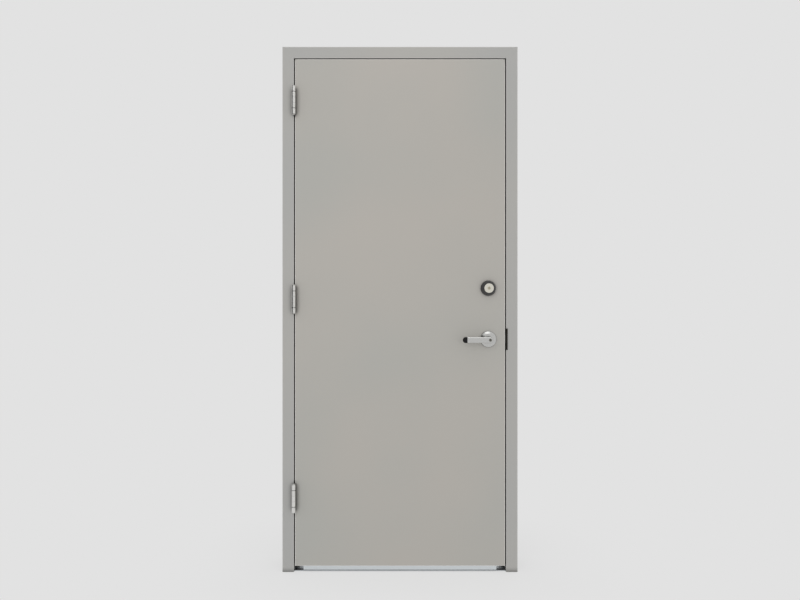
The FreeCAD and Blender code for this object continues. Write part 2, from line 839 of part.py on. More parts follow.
def leaf_preps(stem):
    """Everything cut through the skins: hinge mortises, cross bores and faceplate mortises."""
    tools = [hinge_prep(f"{stem}{label}Prep", height, 1) for label, height in hinge_heights().items()]
    for label, height in (("Lever", "lever_height"), ("Deadbolt", "deadbolt_height")):
        tools.append(rod(f"{stem}{label}Bore", "Y", ("lock_x", "leaf_front - cut_over", height),
                         "bore_radius", "leaf_thickness + 2 * cut_over"))
        half_y = "faceplate_width / 2 + faceplate_seat"
        half_z = "faceplate_height / 2 + faceplate_seat"
        tools.append(block(f"{stem}{label}Mortise", ("faceplate_back", "leaf_right + cut_over"),
                           (f"leaf_middle - ({half_y})", f"leaf_middle + {half_y}"),
                           (f"{height} - ({half_z})", f"{height} + {half_z}")))
    return tools


def make_channels():
    """Closing channel at the top, legs down, and a recessed one at the foot, open to the floor."""
    channels = []
    for name, web_low, web_high, leg_low in (
        ("top_channel", "leaf_top - channel_steel", "leaf_top", "leaf_top - channel_leg"),
        ("bottom_channel", "undercut + channel_leg - channel_steel", "undercut + channel_leg", "undercut"),
    ):
        corners = [
            ("skin_front", web_high),
            ("skin_back", web_high),
            ("skin_back", leg_low),
            ("skin_back - channel_steel", leg_low),
            ("skin_back - channel_steel", web_low),
            ("skin_front + channel_steel", web_low),
            ("skin_front + channel_steel", leg_low),
            ("skin_front", leg_low),
        ]
        channels.append(prism(name, "YZ", corners, "core_left", "core_right"))
    return channels


def lock_box_range():
    return ("bore_left - lock_box_margin", "lever_height - lock_box_rise", "deadbolt_height + lock_box_rise")


def make_core():
    """The bonded core, cut away round the hinge backings and the lock."""
    blank = block("CoreBlank", ("core_left", "core_right"), ("skin_front", "skin_back"),
                  ("undercut + channel_leg", "leaf_top - channel_leg"))
    left, low, high = lock_box_range()
    y = ("skin_front - cut_over", "skin_back + cut_over")
    tools = [block("CoreLockPocket", (left, "leaf_right"), y, (low, high))]
    for label, height in hinge_heights().items():
        half = "backing_length / 2 + core_clearance"
        tools.append(block(f"Core{label}Pocket", ("leaf_left", "leaf_left + hinge_pocket"), y,
                           (f"{height} - ({half})", f"{height} + {half}")))
    return cut("door_core", blank, *tools)


def make_lock_reinforcement(holes):
    """A channel round the lock: its web backs the faceplates, its flanges back both skins."""
    left, low, high = lock_box_range()
    web = "faceplate_back - channel_steel"
    corners = [
        (left, "skin_front"),
        ("faceplate_back", "skin_front"),
        ("faceplate_back", "skin_back"),
        (left, "skin_back"),
        (left, "skin_back - channel_steel"),
        (web, "skin_back - channel_steel"),
        (web, "skin_front + channel_steel"),
        (left, "skin_front + channel_steel"),
    ]
    blank = prism("LockChannel", "XY", corners, low, high)
    tools = [holes]
    for label, height in (("Lever", "lever_height"), ("Deadbolt", "deadbolt_height")):
        tools.append(rod(f"LockChannel{label}Bore", "Y", ("lock_x", "leaf_front", height),
                         "bore_radius", "leaf_thickness"))
        tools.append(rod(f"LockChannel{label}Edge", "X", ("lock_x", "leaf_middle", height),
                         "bolt_case_radius + bolt_clearance", "backset"))
    return cut("lock_reinforcement", blank, *tools)


# ---- lock: way is -1 on the pull side, where outward is -Y, and 1 on the push side ----

def lock_face(way):
    return "leaf_front" if way < 0 else "leaf_back"


def make_rose(name, way):
    bevel_radius = "rose_radius - rose_bevel"
    hole = "lever_hub_radius + trim_clearance"
    profile = [
        ("0", "rose_radius"),
        ("rose_edge", "rose_radius"),
        ("rose_depth", bevel_radius),
        ("rose_depth", hole),
        ("rose_depth - rose_shell", hole),
        ("rose_depth - rose_shell", f"{bevel_radius} - rose_shell / 2"),
        ("rose_edge - rose_shell / 2", "rose_radius - rose_shell"),
        ("0", "rose_radius - rose_shell"),
    ]
    rose = turned(name, "Y", [(f"{way} * ({along})", radius) for along, radius in profile])
    return put(rose, "lock_x", lock_face(way), "lever_height")


def bolt_axis(way):
    return f"lever_height + {way} * through_bolt_offset"


def make_lock_core():
    """Chassis in the cross bore, a plate against each face and two bolts that clamp them."""
    hub = "mounting_plate_steel + chassis_hub_rise"
    front = "leaf_front"
    back = "leaf_back"
    drum = turned("ChassisDrum", "Y", [
        (f"{front} - ({hub})", "shank_radius + run_fit"),
        (f"{front} - ({hub})", "chassis_hub_radius"),
        (front, "chassis_hub_radius"),
        (front, "chassis_radius"),
        (back, "chassis_radius"),
        (back, "chassis_hub_radius"),
        (f"{back} + {hub}", "chassis_hub_radius"),
        (f"{back} + {hub}", "shank_radius + run_fit"),
    ])
    put(drum, "lock_x", "0", "lever_height")
    tail = rod("ChassisTailWay", "X", ("lock_x - latch_throw", "leaf_middle", "lever_height"),
               "latch_tail_radius + bolt_clearance", "latch_throw + chassis_radius + cut_over")
    bolts = []
    ways = []
    for label, way in (("Upper", 1), ("Lower", -1)):
        start = ("lock_x", "leaf_front - mounting_plate_steel", bolt_axis(way))
        length = "leaf_thickness + 2 * mounting_plate_steel"
        shank = rod(f"ThroughBolt{label}Shank", "Y", start, "through_bolt_radius", length)
        head_at = ("lock_x", "leaf_back + mounting_plate_steel", bolt_axis(way))
        head = rod(f"ThroughBolt{label}Head", "Y", head_at, "through_bolt_head", "bolt_head_height")
        bolts.append(joined(f"ThroughBolt{label}", [shank, head]))
        clear = "through_bolt_radius + screw_clearance"
        ways.append(rod(f"ThroughBolt{label}Way", "Y", start, clear, length))
    ways = group("ThroughBoltWays", ways)
    chassis = cut("lock_chassis", drum, tail, ways)
    plates = []
    for label, y in (("Outer", "leaf_front - mounting_plate_steel"), ("Inner", "leaf_back")):
        disc = rod(f"MountingPlate{label}Disc", "Y", ("lock_x", y, "lever_height"),
                   "rose_radius - rose_shell - trim_clearance", "mounting_plate_steel")
        hole = rod(f"MountingPlate{label}Hole", "Y", ("lock_x", y, "lever_height"),
                   "chassis_hub_radius + screw_clearance", "mounting_plate_steel")
        plates.append(cut(f"MountingPlate{label}", disc, hole, ways))
    return [chassis, group("lock_mounting_plates", plates), group("lock_through_bolts", bolts)]


def grip_piece(name, flat, centre, bulge, way):
    """A length of the lever grip: square at flat, closed by a half circle about centre."""
    body = new_body(name)
    sketch = bullet(body, f"{name}Outline", flat, centre, "lever_grip_height / 2", bulge)
    padded(body, sketch, "lever_grip_depth")

    def on_outline(edge):
        box = edge.BoundBox
        return box.YLength < 0.01 and box.XLength > 0.01

    softened(body, f"{name}Rounds", "grip_round", on_outline)
    y = "lever_face + lever_grip_depth" if way < 0 else "leaf_back + lever_front"
    return put(body, "lock_x", y, "lever_height")


def front_rod(name, way, front, radius, depth, height="lever_height"):
    """A rod along Y whose outer end lies a given distance in front of the leaf face."""
    y = f"leaf_front - ({front})" if way < 0 else f"leaf_back + {front} - ({depth})"
    return rod(name, "Y", ("lock_x", y, height), radius, depth)


def make_lever(side, way):
    shank_top = "mounting_plate_steel + chassis_hub_rise + trim_clearance"
    neck_top = "lever_front - lever_grip_depth / 2"
    profile = [
        ("0 - shank_depth", "0"),
        ("0 - shank_depth", "shank_radius"),
        (shank_top, "shank_radius"),
        (shank_top, "lever_hub_radius"),
        (neck_top, "lever_hub_radius"),
        (neck_top, "0"),
    ]
    neck = turned(f"{side}Neck", "Y", [(f"{way} * ({along})", radius) for along, radius in profile])
    put(neck, "lock_x", lock_face(way), "lever_height")
    bar = grip_piece(f"{side}Grip", "0 - lever_grip_reach", "0", 1, way)
    socket = front_rod(f"{side}Socket", way, "lever_front", "plug_radius + run_fit", "plug_depth")
    lever = cut(f"{side}_lever", joined(f"{side}Blank", [neck, bar]), socket)
    end = "0 - (lever_grip_reach + lever_tip_length - lever_grip_height / 2)"
    tip = grip_piece(f"{side}_lever_tip", "0 - lever_grip_reach", end, -1, way)
    return [lever, tip]


def keyed_plug(name, front, height):
    """A key plug on the pull side with an upright keyway."""
    depth = "plug_depth - plug_recess - plug_end_play"
    body = front_rod(f"{name}Body", -1, front, "plug_radius", depth, height)
    slot = block(f"{name}Keyway", ("lock_x - keyway_width / 2", "lock_x + keyway_width / 2"),
                 (f"leaf_front - ({front}) - cut_over", f"leaf_front - ({front}) + keyway_depth"),
                 (f"{height} - keyway_height / 2", f"{height} + keyway_height / 2"))
    return cut(name, body, slot)


def make_turn_button():
    shaft = front_rod("ButtonShaft", 1, "lever_front - plug_recess", "plug_radius",
                      "plug_depth - plug_recess - plug_end_play")
    knob = front_rod("ButtonKnob", 1, "lever_front + button_projection", "button_radius",
                     "button_projection + plug_recess")
    z = ("lever_height - keyway_height", "lever_height + keyway_height")
    front = "leaf_back + lever_front + button_projection"
    y = (f"{front} - keyway_width", f"{front} + cut_over")
    slot = block("ButtonSlot", ("lock_x - keyway_width / 2", "lock_x + keyway_width / 2"), y, z)
    return cut("inside_turn_button", joined("ButtonBlank", [shaft, knob]), slot)


def bolt_bar(name, low, high, height, thickness, extra="0"):
    """A bolt head: a round bar with two flats, running along X."""
    length = f"({high}) - ({low})"
    round_bar = rod(f"{name}Round", "X", (low, "leaf_middle", height), f"bolt_radius + {extra}", length)
    half = f"{thickness} / 2 + {extra}"
    flats = block(f"{name}Flats", (low, high), (f"leaf_middle - ({half})", f"leaf_middle + {half}"),
                  (f"{height} - 2 * bolt_radius", f"{height} + 2 * bolt_radius"))
    return shared(name, round_bar, flats)


def make_latch():
    """The spring latch: a bevelled head that points into the strike and a tail into the chassis."""
    tip = "leaf_right + latch_throw"
    root = "leaf_right - latch_root"
    head = bolt_bar("LatchHead", root, tip, "lever_height", "latch_thickness")
    half = "latch_thickness / 2"
    corners = [
        (f"{tip} + cut_over", f"leaf_middle - {half} + latch_nose"),
        (tip, f"leaf_middle - {half} + latch_nose"),
        ("leaf_right + latch_shoulder", f"leaf_middle + {half}"),
        ("leaf_right + latch_shoulder", f"leaf_middle + {half} + cut_over"),
        (f"{tip} + cut_over", f"leaf_middle + {half} + cut_over"),
    ]
    bevel = prism("LatchBevel", "XY", corners, "lever_height - 2 * bolt_radius",
                  "lever_height + 2 * bolt_radius")
    tail = rod("LatchTail", "X", ("lock_x + latch_tail_gap", "leaf_middle", "lever_height"),
               "latch_tail_radius", f"{root} - lock_x - latch_tail_gap")
    return joined("latch_bolt", [cut("LatchBevelled", head, bevel), tail])


def make_faceplate(stem, name, height, thickness, holes):
    y = ("leaf_middle - faceplate_width / 2", "leaf_middle + faceplate_width / 2")
    z = (f"{height} - faceplate_height / 2", f"{height} + faceplate_height / 2")
    plate = block(f"{stem}Face", ("faceplate_back", "leaf_right"), y, z)
    mouth = bolt_bar(f"{stem}Mouth", "faceplate_back - cut_over", "leaf_right + cut_over", height, thickness,
                     "bolt_clearance")
    return cut(name, plate, mouth, holes)


def make_bolt_works(holes):
    """Cases, faceplates and bolts of the latch and of the deadbolt above it."""
    latch_case_back = "lock_x + chassis_radius + bolt_clearance"
    tube = rod("LatchTube", "X", (latch_case_back, "leaf_middle", "lever_height"), "bolt_case_radius",
               f"faceplate_back - ({latch_case_back})")
    bore = rod("LatchTubeBore", "X", (latch_case_back, "leaf_middle", "lever_height"), "bolt_case_bore",
               f"faceplate_back - ({latch_case_back})")
    latch_case = cut("latch_case", tube, bore)
    latch_plate = make_faceplate("Latch", "latch_faceplate", "lever_height", "latch_thickness", holes)

    cam_end = "lock_x + cam_box_front"
    dead = "deadbolt_height"
    tube = rod("DeadboltTube", "X", (cam_end, "leaf_middle", dead), "bolt_case_radius",
               f"faceplate_back - ({cam_end})")
    bore = rod("DeadboltTubeBore", "X", (cam_end, "leaf_middle", dead), "bolt_case_bore",
               f"faceplate_back - ({cam_end})")
    box = block("CamBox", ("lock_x - cam_box_back", cam_end),
                ("leaf_middle - cam_box_half", "leaf_middle + cam_box_half"),
                (f"{dead} - bolt_case_radius", f"{dead} + bolt_case_radius"))
    cam = rod("CamWay", "Y", ("lock_x", "leaf_middle - cam_box_half", dead), "cam_radius", "2 * cam_box_half")
    deadbolt_case = joined("deadbolt_case", [cut("DeadboltSleeve", tube, bore), cut("CamHousing", box, cam)])
    deadbolt_plate = make_faceplate("Deadbolt", "deadbolt_faceplate", dead, "deadbolt_thickness", holes)
    front = "leaf_right - bolt_rest"
    bolt = bolt_bar("deadbolt_bolt", f"{front} - deadbolt_length", front, dead, "deadbolt_thickness")
    return [latch_case, latch_plate, make_latch(), deadbolt_case, deadbolt_plate, bolt]


def make_deadbolt_trim():
    """Keyed cylinder in its tapered collar outside, thumbturn on its rose inside."""
    dead = "deadbolt_height"
    profile = [
        ("0", "collar_radius"),
        ("collar_shell", "collar_radius"),
        ("collar_depth", "collar_front_radius"),
        ("collar_depth", "collar_mouth_radius"),
        ("collar_depth - collar_shell", "collar_mouth_radius"),
        ("collar_depth - collar_shell", "collar_front_radius - collar_shell"),
        ("0", "collar_radius - 2 * collar_shell"),
    ]
    collar = turned("deadbolt_collar", "Y", [(f"0 - ({along})", radius) for along, radius in profile])
    put(collar, "lock_x", "leaf_front", dead)
    depth = "cylinder_front + cylinder_depth"
    cylinder = front_rod("CylinderBody", -1, "cylinder_front", "cylinder_radius", depth, dead)
    socket = front_rod("CylinderSocket", -1, "cylinder_front", "plug_radius + run_fit", "plug_depth", dead)

    screws = []
    ways = []
    screw_tip = "leaf_front + cylinder_depth - thumb_screw_grip"
    length = f"leaf_back + thumb_rose_depth - ({screw_tip})"
    for label, side in (("Upper", 1), ("Lower", -1)):
        start = ("lock_x", screw_tip, f"{dead} + {side} * thumb_screw_offset")
        shank = rod(f"ThumbScrew{label}Shank", "Y", start, "screw_radius", length)
        head_at = ("lock_x", "leaf_back + thumb_rose_depth", start[2])
        head = rod(f"ThumbScrew{label}Head", "Y", head_at, "screw_head_radius", "bolt_head_height / 2")
        screws.append(joined(f"ThumbScrew{label}", [shank, head]))
        ways.append(rod(f"ThumbScrew{label}Way", "Y", start, "screw_radius + screw_clearance", length))
    ways = group("ThumbScrewWays", ways)
    cylinder = cut("deadbolt_cylinder", cylinder, socket, ways)

    profile = [
        ("0", "thumb_hub_radius + trim_clearance"),
        ("0", "collar_radius"),
        ("rose_edge", "collar_radius"),
        ("thumb_rose_depth", "collar_radius - rose_edge"),
        ("thumb_rose_depth", "thumb_hub_radius + trim_clearance"),
    ]
    rose = put(turned("ThumbRoseBlank", "Y", profile), "lock_x", "leaf_back", dead)
    thumb_rose = cut("thumbturn_rose", rose, ways)

    hub_top = "thumb_rose_depth + thumb_hub_rise"
    hub = front_rod("ThumbHub", 1, hub_top, "thumb_hub_radius", f"{hub_top} - trim_clearance", dead)
    tail_end = "leaf_middle - cam_box_half"
    tail = block("Tailpiece", ("lock_x - tailpiece_thickness / 2", "lock_x + tailpiece_thickness / 2"),
                 (tail_end, "leaf_back + thumb_hub_rise"),
                 (f"{dead} - tailpiece_height / 2", f"{dead} + tailpiece_height / 2"))
    grip = new_body("ThumbGrip")
    half = "thumb_height / 2"
    side = "thumb_thickness / 2"
    corners = [(f"0 - {side}", f"0 - {half}"), (side, f"0 - {half}"), (side, half), (f"0 - {side}", half)]
    depth = "thumb_projection - thumb_rose_depth - thumb_grip_rise"
    padded(grip, outline(grip, "ThumbGripOutline", "XZ", corners), depth)
    softened(grip, "ThumbGripRounds", "thumb_round", lambda edge: edge.BoundBox.YLength > NEAR)
    put(grip, "lock_x", "leaf_back + thumb_projection", dead)
    thumbturn = joined("thumbturn", [hub, grip, tail])
    return [collar, cylinder, thumb_rose, group("thumbturn_screws", screws), thumbturn]


# ---- strikes ----

def strike_range():
    """Each strike's height, plate height, plate width and screw spread."""
    return {
        "Latch": ("lever_height", "strike_height", "strike_width", "strike_screw_spread"),
        "Deadbolt": ("deadbolt_height", "deadbolt_strike_height", "faceplate_width",
                     "deadbolt_strike_screw_spread"),
    }


def strike_preps(stem):
    """Mortises in the strike jamb and the notch in its face for the lip."""
    tools = []
    for label, (height, tall, wide, _) in strike_range().items():
        tools.append(block(f"{stem}{label}Mortise", ("half_opening - cut_over", "strike_back"),
                           (f"leaf_middle - {wide} / 2", f"leaf_middle + {wide} / 2"),
                           (f"{height} - {tall} / 2", f"{height} + {tall} / 2")))
    half = "lip_height / 2 + lip_notch_margin"
    tools.append(block(f"{stem}LipNotch",
                       ("half_opening - cut_over", "half_opening + lip_radius + lip_notch_margin"),
                       ("frame_front - cut_over", "leaf_middle - strike_width / 2 + cut_over"),
                       (f"lever_height - ({half})", f"lever_height + {half}")))
    return tools


def make_strikes(holes):
    """Strike plates, their backing plates welded in the jamb, and dust boxes behind the windows."""
    plates = []
    backings = []
    boxes = []
    for label, (height, tall, wide, _) in strike_range().items():
        y = (f"leaf_middle - {wide} / 2", f"leaf_middle + {wide} / 2")
        plate = block(f"{label}StrikePlate", ("half_opening", "strike_back"), y,
                      (f"{height} - {tall} / 2", f"{height} + {tall} / 2"))
        window = block(f"{label}StrikeWindow", ("half_opening - cut_over", "strike_back + cut_over"),
                       ("leaf_middle - strike_window_width / 2", "leaf_middle + strike_window_width / 2"),
                       (f"{height} - strike_window_height / 2", f"{height} + strike_window_height / 2"))
        if label == "Latch":
            plate = joined("LatchStrikeWithLip", [plate] + make_lip(height))
        plates.append(cut("strike_plate" if label == "Latch" else "deadbolt_strike", plate, window, holes))

        inner_y = "strike_window_width / 2 + strike_box_wall"
        inner_z = "strike_window_height / 2 + strike_box_wall"
        outer_y = f"{inner_y} + strike_box_wall"
        outer_z = f"{inner_z} + strike_box_wall"
        outer = block(f"{label}BoxOuter", ("strike_back", "strike_back + strike_box_depth"),
                      (f"leaf_middle - ({outer_y})", f"leaf_middle + {outer_y}"),
                      (f"{height} - ({outer_z})", f"{height} + {outer_z}"))
        box_floor = "strike_back + strike_box_depth - strike_box_wall"
        inner = block(f"{label}BoxInner", ("strike_back - cut_over", box_floor),
                      (f"leaf_middle - ({inner_y})", f"leaf_middle + {inner_y}"),
                      (f"{height} - ({inner_z})", f"{height} + {inner_z}"))
        boxes.append(cut("strike_box" if label == "Latch" else "deadbolt_strike_box", outer, inner))
        backing_y = ("leaf_middle - backing_width / 2", "leaf_middle + backing_width / 2")
        length = f"{tall} + 2 * strike_backing_end"
        backing = backing_plate(f"{label}Backing", 1, "half_opening + frame_steel", "strike_back", tall,
                                height, length, backing_y)
        backings.append(cut(f"{label}BackingWindowed", backing, outer))
    backing = cut("strike_reinforcements", group("StrikeBackings", backings), holes)
    return plates + boxes + [backing]


def make_lip(height):
    """The lip that the latch rides up: straight past the jamb corner, then curled back."""
    turn_y = "frame_front - lip_projection + lip_radius"
    z = (f"{height} - lip_height / 2", f"{height} + lip_height / 2")
    flat = block("LipFlat", ("half_opening", "strike_back"), (turn_y, "leaf_middle - strike_width / 2"), z)
    axis = ("half_opening + lip_radius", turn_y, z[0])
    outer = rod("LipOuter", "Z", axis, "lip_radius", "lip_height")
    inner = rod("LipInner", "Z", axis, "lip_radius - strike_steel", "lip_height")
    quarter = block("LipQuarter", ("half_opening", "half_opening + lip_radius"),
                    (f"{turn_y} - lip_radius", turn_y), z)
    return [flat, shared("LipCurl", cut("LipTube", outer, inner), quarter)]


def bolt_screw_places(face, spreads):
    places = []
    for height, spread in spreads:
        for side in (-1, 1):
            places.append((face, "leaf_middle", f"{height} + {side} * {spread} / 2"))
    return places




def build():
    for row, (name, size) in enumerate(SIZES.items(), 1):
        sheet.set(f"A{row}", name)
        sheet.set(f"B{row}", str(size))
        sheet.setAlias(f"B{row}", name)
    doc.recompute()

    frame_screw = screw("FrameHingeScrew", -1)
    leaf_screw = screw("LeafHingeScrew", 1)
    edge_screw = screw("EdgeScrew", -1)
    strike_screw = screw("StrikeScrew", 1)
    inward_hole = screw_hole("InwardHole", -1)
    outward_hole = screw_hole("OutwardHole", 1)
    frame_hinge_places = hinge_screw_places("0 - half_opening")
    leaf_hinge_places = hinge_screw_places("leaf_left")
    edge_places = bolt_screw_places("leaf_right", [
        ("lever_height", "faceplate_screw_spread"), ("deadbolt_height", "faceplate_screw_spread")])
    strike_places = bolt_screw_places("half_opening", [
        (height, spread) for height, _, _, spread in strike_range().values()])
    frame_holes = copies("FrameHingeHoles", inward_hole, frame_hinge_places)
    leaf_holes = copies("LeafHingeHoles", outward_hole, leaf_hinge_places)
    edge_holes = copies("EdgeHoles", inward_hole, edge_places)
    strike_holes = copies("StrikeHoles", outward_hole, strike_places)

    parts = [
        make_jamb("hinge_jamb", -1),
        make_jamb("strike_jamb", 1),
        make_head(),
        make_threshold(),
        make_corner_gussets(),
        make_hinge_backings("hinge_reinforcements", -1, frame_holes),
        make_wall_anchors(),
        make_floor_anchors(),
        copies("frame_hinge_screws", frame_screw, frame_hinge_places),
        copies("door_hinge_screws", leaf_screw, leaf_hinge_places),
        copies("faceplate_screws", edge_screw, edge_places),
        copies("strike_screws", strike_screw, strike_places),
        make_hinge_pins(),
        make_hinge_bearings(),
        make_skin("front_skin", "leaf_front", "skin_front", leaf_preps("Front")),
        make_skin("back_skin", "leaf_back", "skin_back", leaf_preps("Back")),
        make_core(),
        make_hinge_backings("leaf_hinge_reinforcements", 1, leaf_holes),
        make_lock_reinforcement(edge_holes),
        make_rose("outside_rose", -1),
        make_rose("inside_rose", 1),
        keyed_plug("lever_key_plug", "lever_front - plug_recess", "lever_height"),
        keyed_plug("deadbolt_key_plug", "cylinder_front - plug_recess", "deadbolt_height"),
        make_turn_button(),
    ]
    parts += make_channels()
    parts += make_gaskets()
    parts += make_hinges(frame_holes, leaf_holes)
    parts += make_strikes(strike_holes)
    parts += make_lock_core()
    parts += make_lever("outside", -1)
    parts += make_lever("inside", 1)
    parts += make_bolt_works(edge_holes)
    parts += make_deadbolt_trim()
    doc.recompute()
    return parts


def write(parts):
    """Check that every object is sound, then write one file for each sub-part."""
    failed = [item.Name for item in doc.Objects if {"Invalid", "Error"} & set(item.State)]
    if failed:
        raise RuntimeError(f"these objects failed: {failed}")
    for part in parts:
        if part.Shape.isNull() or not part.Shape.isValid() or not part.Shape.Solids:
            raise RuntimeError(f"{part.Label} has no sound solid")
    os.makedirs("parts", exist_ok=True)
    for part in parts:
        part.Shape.exportStep(f"parts/{part.Label}.step")
        print(part.Label, len(part.Shape.Solids), round(part.Shape.Volume))


write(build())
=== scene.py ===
# %% [markdown]
# # A flush steel door in a pressed frame
# The object is a factory-made steel doorset: a smooth hollow leaf, three butt hinges, a pressed frame,
# a lever lock with a deadbolt over it, seals, and a low saddle on the floor. Its solids come from a
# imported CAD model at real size, so this lesson is about surfaces, small drives and light.
# Everything is in metres: +X runs from hinge side to lock side, -Y toward the person who pulls the
# leaf open, +Z up.

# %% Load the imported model
import json
import math
import bmesh
import bpy
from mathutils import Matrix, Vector


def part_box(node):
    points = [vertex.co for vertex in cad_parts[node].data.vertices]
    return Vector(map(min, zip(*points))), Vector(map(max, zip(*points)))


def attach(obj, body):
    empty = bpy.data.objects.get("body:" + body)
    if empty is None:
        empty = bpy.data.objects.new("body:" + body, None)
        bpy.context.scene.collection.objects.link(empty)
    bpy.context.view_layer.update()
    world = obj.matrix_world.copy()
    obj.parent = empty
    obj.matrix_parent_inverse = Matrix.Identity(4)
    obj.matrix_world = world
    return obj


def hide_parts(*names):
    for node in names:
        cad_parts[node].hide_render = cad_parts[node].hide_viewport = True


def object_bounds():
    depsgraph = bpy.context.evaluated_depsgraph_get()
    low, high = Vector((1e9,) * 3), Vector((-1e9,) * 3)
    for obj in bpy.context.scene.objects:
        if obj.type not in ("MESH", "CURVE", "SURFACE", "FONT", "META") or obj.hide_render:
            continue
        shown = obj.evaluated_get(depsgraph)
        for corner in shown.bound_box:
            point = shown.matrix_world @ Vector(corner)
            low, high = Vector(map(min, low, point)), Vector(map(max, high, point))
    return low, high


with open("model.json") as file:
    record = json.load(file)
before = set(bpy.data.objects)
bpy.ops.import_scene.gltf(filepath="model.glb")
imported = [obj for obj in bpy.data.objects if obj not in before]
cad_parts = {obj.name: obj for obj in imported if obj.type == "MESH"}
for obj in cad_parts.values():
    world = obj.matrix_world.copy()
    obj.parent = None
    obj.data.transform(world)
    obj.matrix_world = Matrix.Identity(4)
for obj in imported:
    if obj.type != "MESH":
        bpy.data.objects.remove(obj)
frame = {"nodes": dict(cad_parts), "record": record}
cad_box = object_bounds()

nodes = frame["nodes"]

# %% [markdown]
# ## Small tools
# A few helpers serve every finish. Colours are written as sRGB hex and turned to the linear numbers a
# shader works in. One function adds a shader node with its settings and links. One starts a material and
# hands back its tree and its main shader, so that a finish reads as a short recipe. Two more find places
# where light is painted into the colour: crevices, which get painted shade where other surfaces close in,
# and edges, which get a painted highlight where a rounded edge would catch the light. Such places could be
# painted on by hand; they are worked out from the shape instead, so that they stay right when a joint moves.

# %% Colour, node and material helpers
MM = 0.001
CLOSED_SHARE = 0.25
FLAT_COSINE = 0.9995
ROUND_COSINE = 0.97


def linear(code):
    """An sRGB hex colour as linear red, green, blue and alpha."""
    shares = [int(code[i:i + 2], 16) / 255 for i in (0, 2, 4)]
    return tuple(s / 12.92 if s <= 0.04045 else ((s + 0.055) / 1.055) ** 2.4 for s in shares) + (1.0,)


def add_node(tree, kind, inputs=None, **settings):
    """A shader node with its settings; an input takes a plain value or another node's output."""
    node = tree.nodes.new(kind)
    for name, setting in settings.items():
        setattr(node, name, setting)
    for socket, given in (inputs or {}).items():
        if isinstance(given, bpy.types.NodeSocket):
            tree.links.new(given, node.inputs[socket])
        else:
            node.inputs[socket].default_value = given
    return node


def start_material(name, **sockets):
    """A node material: its tree and its shader, with the shader's plain values already set."""
    material = bpy.data.materials.new(name)
    material.use_nodes = True
    shader = material.node_tree.nodes["Principled BSDF"]
    for socket, given in sockets.items():
        shader.inputs[socket.replace("_", " ")].default_value = given
    material.diffuse_color = shader.inputs["Base Color"].default_value
    return material, material.node_tree, shader


def per_metre(wavelength_mm):
    """The scale a noise or cell texture needs so that one wave or cell is this long."""
    return 1 / (wavelength_mm * MM)


def painted_crevice_shade(tree, colour, reach_mm, dark, open_from=0.85):
    """Painted shade: the colour, darkened where other surfaces close in within this reach, as in a gap or a
    joint.
    """
    around = add_node(tree, "ShaderNodeAmbientOcclusion", {"Distance": reach_mm * MM}, samples=8)
    light = add_node(tree, "ShaderNodeMapRange", {"Value": around.outputs["AO"],
                     "From Min": CLOSED_SHARE, "From Max": open_from, "To Min": dark, "To Max": 1.0})
    shaded = add_node(tree, "ShaderNodeVectorMath", {0: colour, "Scale": light.outputs["Result"]},
                      operation="SCALE")
    return shaded.outputs["Vector"]


def on_edges(tree, bevel):
    """0 on a flat face, rising to 1 where the rounded normal leaves the face's own one, at an edge."""
    own = add_node(tree, "ShaderNodeNewGeometry")
    same = add_node(tree, "ShaderNodeVectorMath", {0: bevel.outputs["Normal"], 1: own.outputs["Normal"]},
                    operation="DOT_PRODUCT")
    edge_highlight_mask = add_node(tree, "ShaderNodeMapRange", {"Value": same.outputs["Value"],
                   "From Min": FLAT_COSINE, "From Max": ROUND_COSINE})
    return edge_highlight_mask.outputs["Result"]


print("mid grey in linear:", [round(v, 3) for v in linear("808080")[:3]])

# %% [markdown]
# ## Baked enamel on sheet steel
# Leaf and frame are zinc-coated sheet with a sprayed, baked enamel. It gives the eye an even satin grey
# with a faint orange peel. A painted highlight, a lighter line along each edge, stands for the light that a
# rounded edge catches. The grey drifts slowly between a warmer and a cooler one, and it turns cooler and
# a little darker toward the sides. One flat colour would be enough for a small picture, but a leaf of two
# square metres then looks like card. So a noise texture tilts the surface for the peel, a slow one shifts
# the colour, and a bevel node rounds the shading at edges without touching the mesh.
# The clearance round the leaf is a few millimetres wide and as deep as the leaf is thick. Painted shade,
# which darkens the colour where other surfaces close in, takes it to black and lays a soft shade round the
# knuckles and the lever. The frame's mitres are welded and ground flush before painting, so no rounded
# edge or painted highlight is drawn along them.
# Real orange peel is about 2 mm wide; it is drawn at 5 mm here so that a close view can show it.

# %% Enamel finish
PEEL_MM = 5
PEEL_DEPTH_MM = 0.05
PEEL_SHINE = 0.03
DRIFT_MM = 620
SIDE_SHIFT_START_MM = 180
SIDE_SHIFT_END_MM = 400
SIDE_SHIFT_SWING = 0.07
GROUND_JOINT_MM = 7
GROUND_FADE_MM = 1
EDGE_ROUND_MM = 3.2
GAP_SHADE_REACH_MM = 30
GAP_SHADE_DARK = 0.03


def off_the_mitre(tree, aside, height):
    """0 along the welded joint from the frame's outer corner inward, 1 away from it."""
    corner = cad_box[1].z - cad_box[1].x
    slant = add_node(tree, "ShaderNodeMath", {0: height, 1: aside}, operation="SUBTRACT")
    away = add_node(tree, "ShaderNodeMath", {0: slant.outputs["Value"], 1: corner}, operation="SUBTRACT")
    gap = add_node(tree, "ShaderNodeMath", {0: away.outputs["Value"]}, operation="ABSOLUTE")
    apart = add_node(tree, "ShaderNodeMapRange", {"Value": gap.outputs["Value"],
                     "From Min": GROUND_JOINT_MM * MM,
                     "From Max": (GROUND_JOINT_MM + GROUND_FADE_MM) * MM})
    return apart.outputs["Result"]


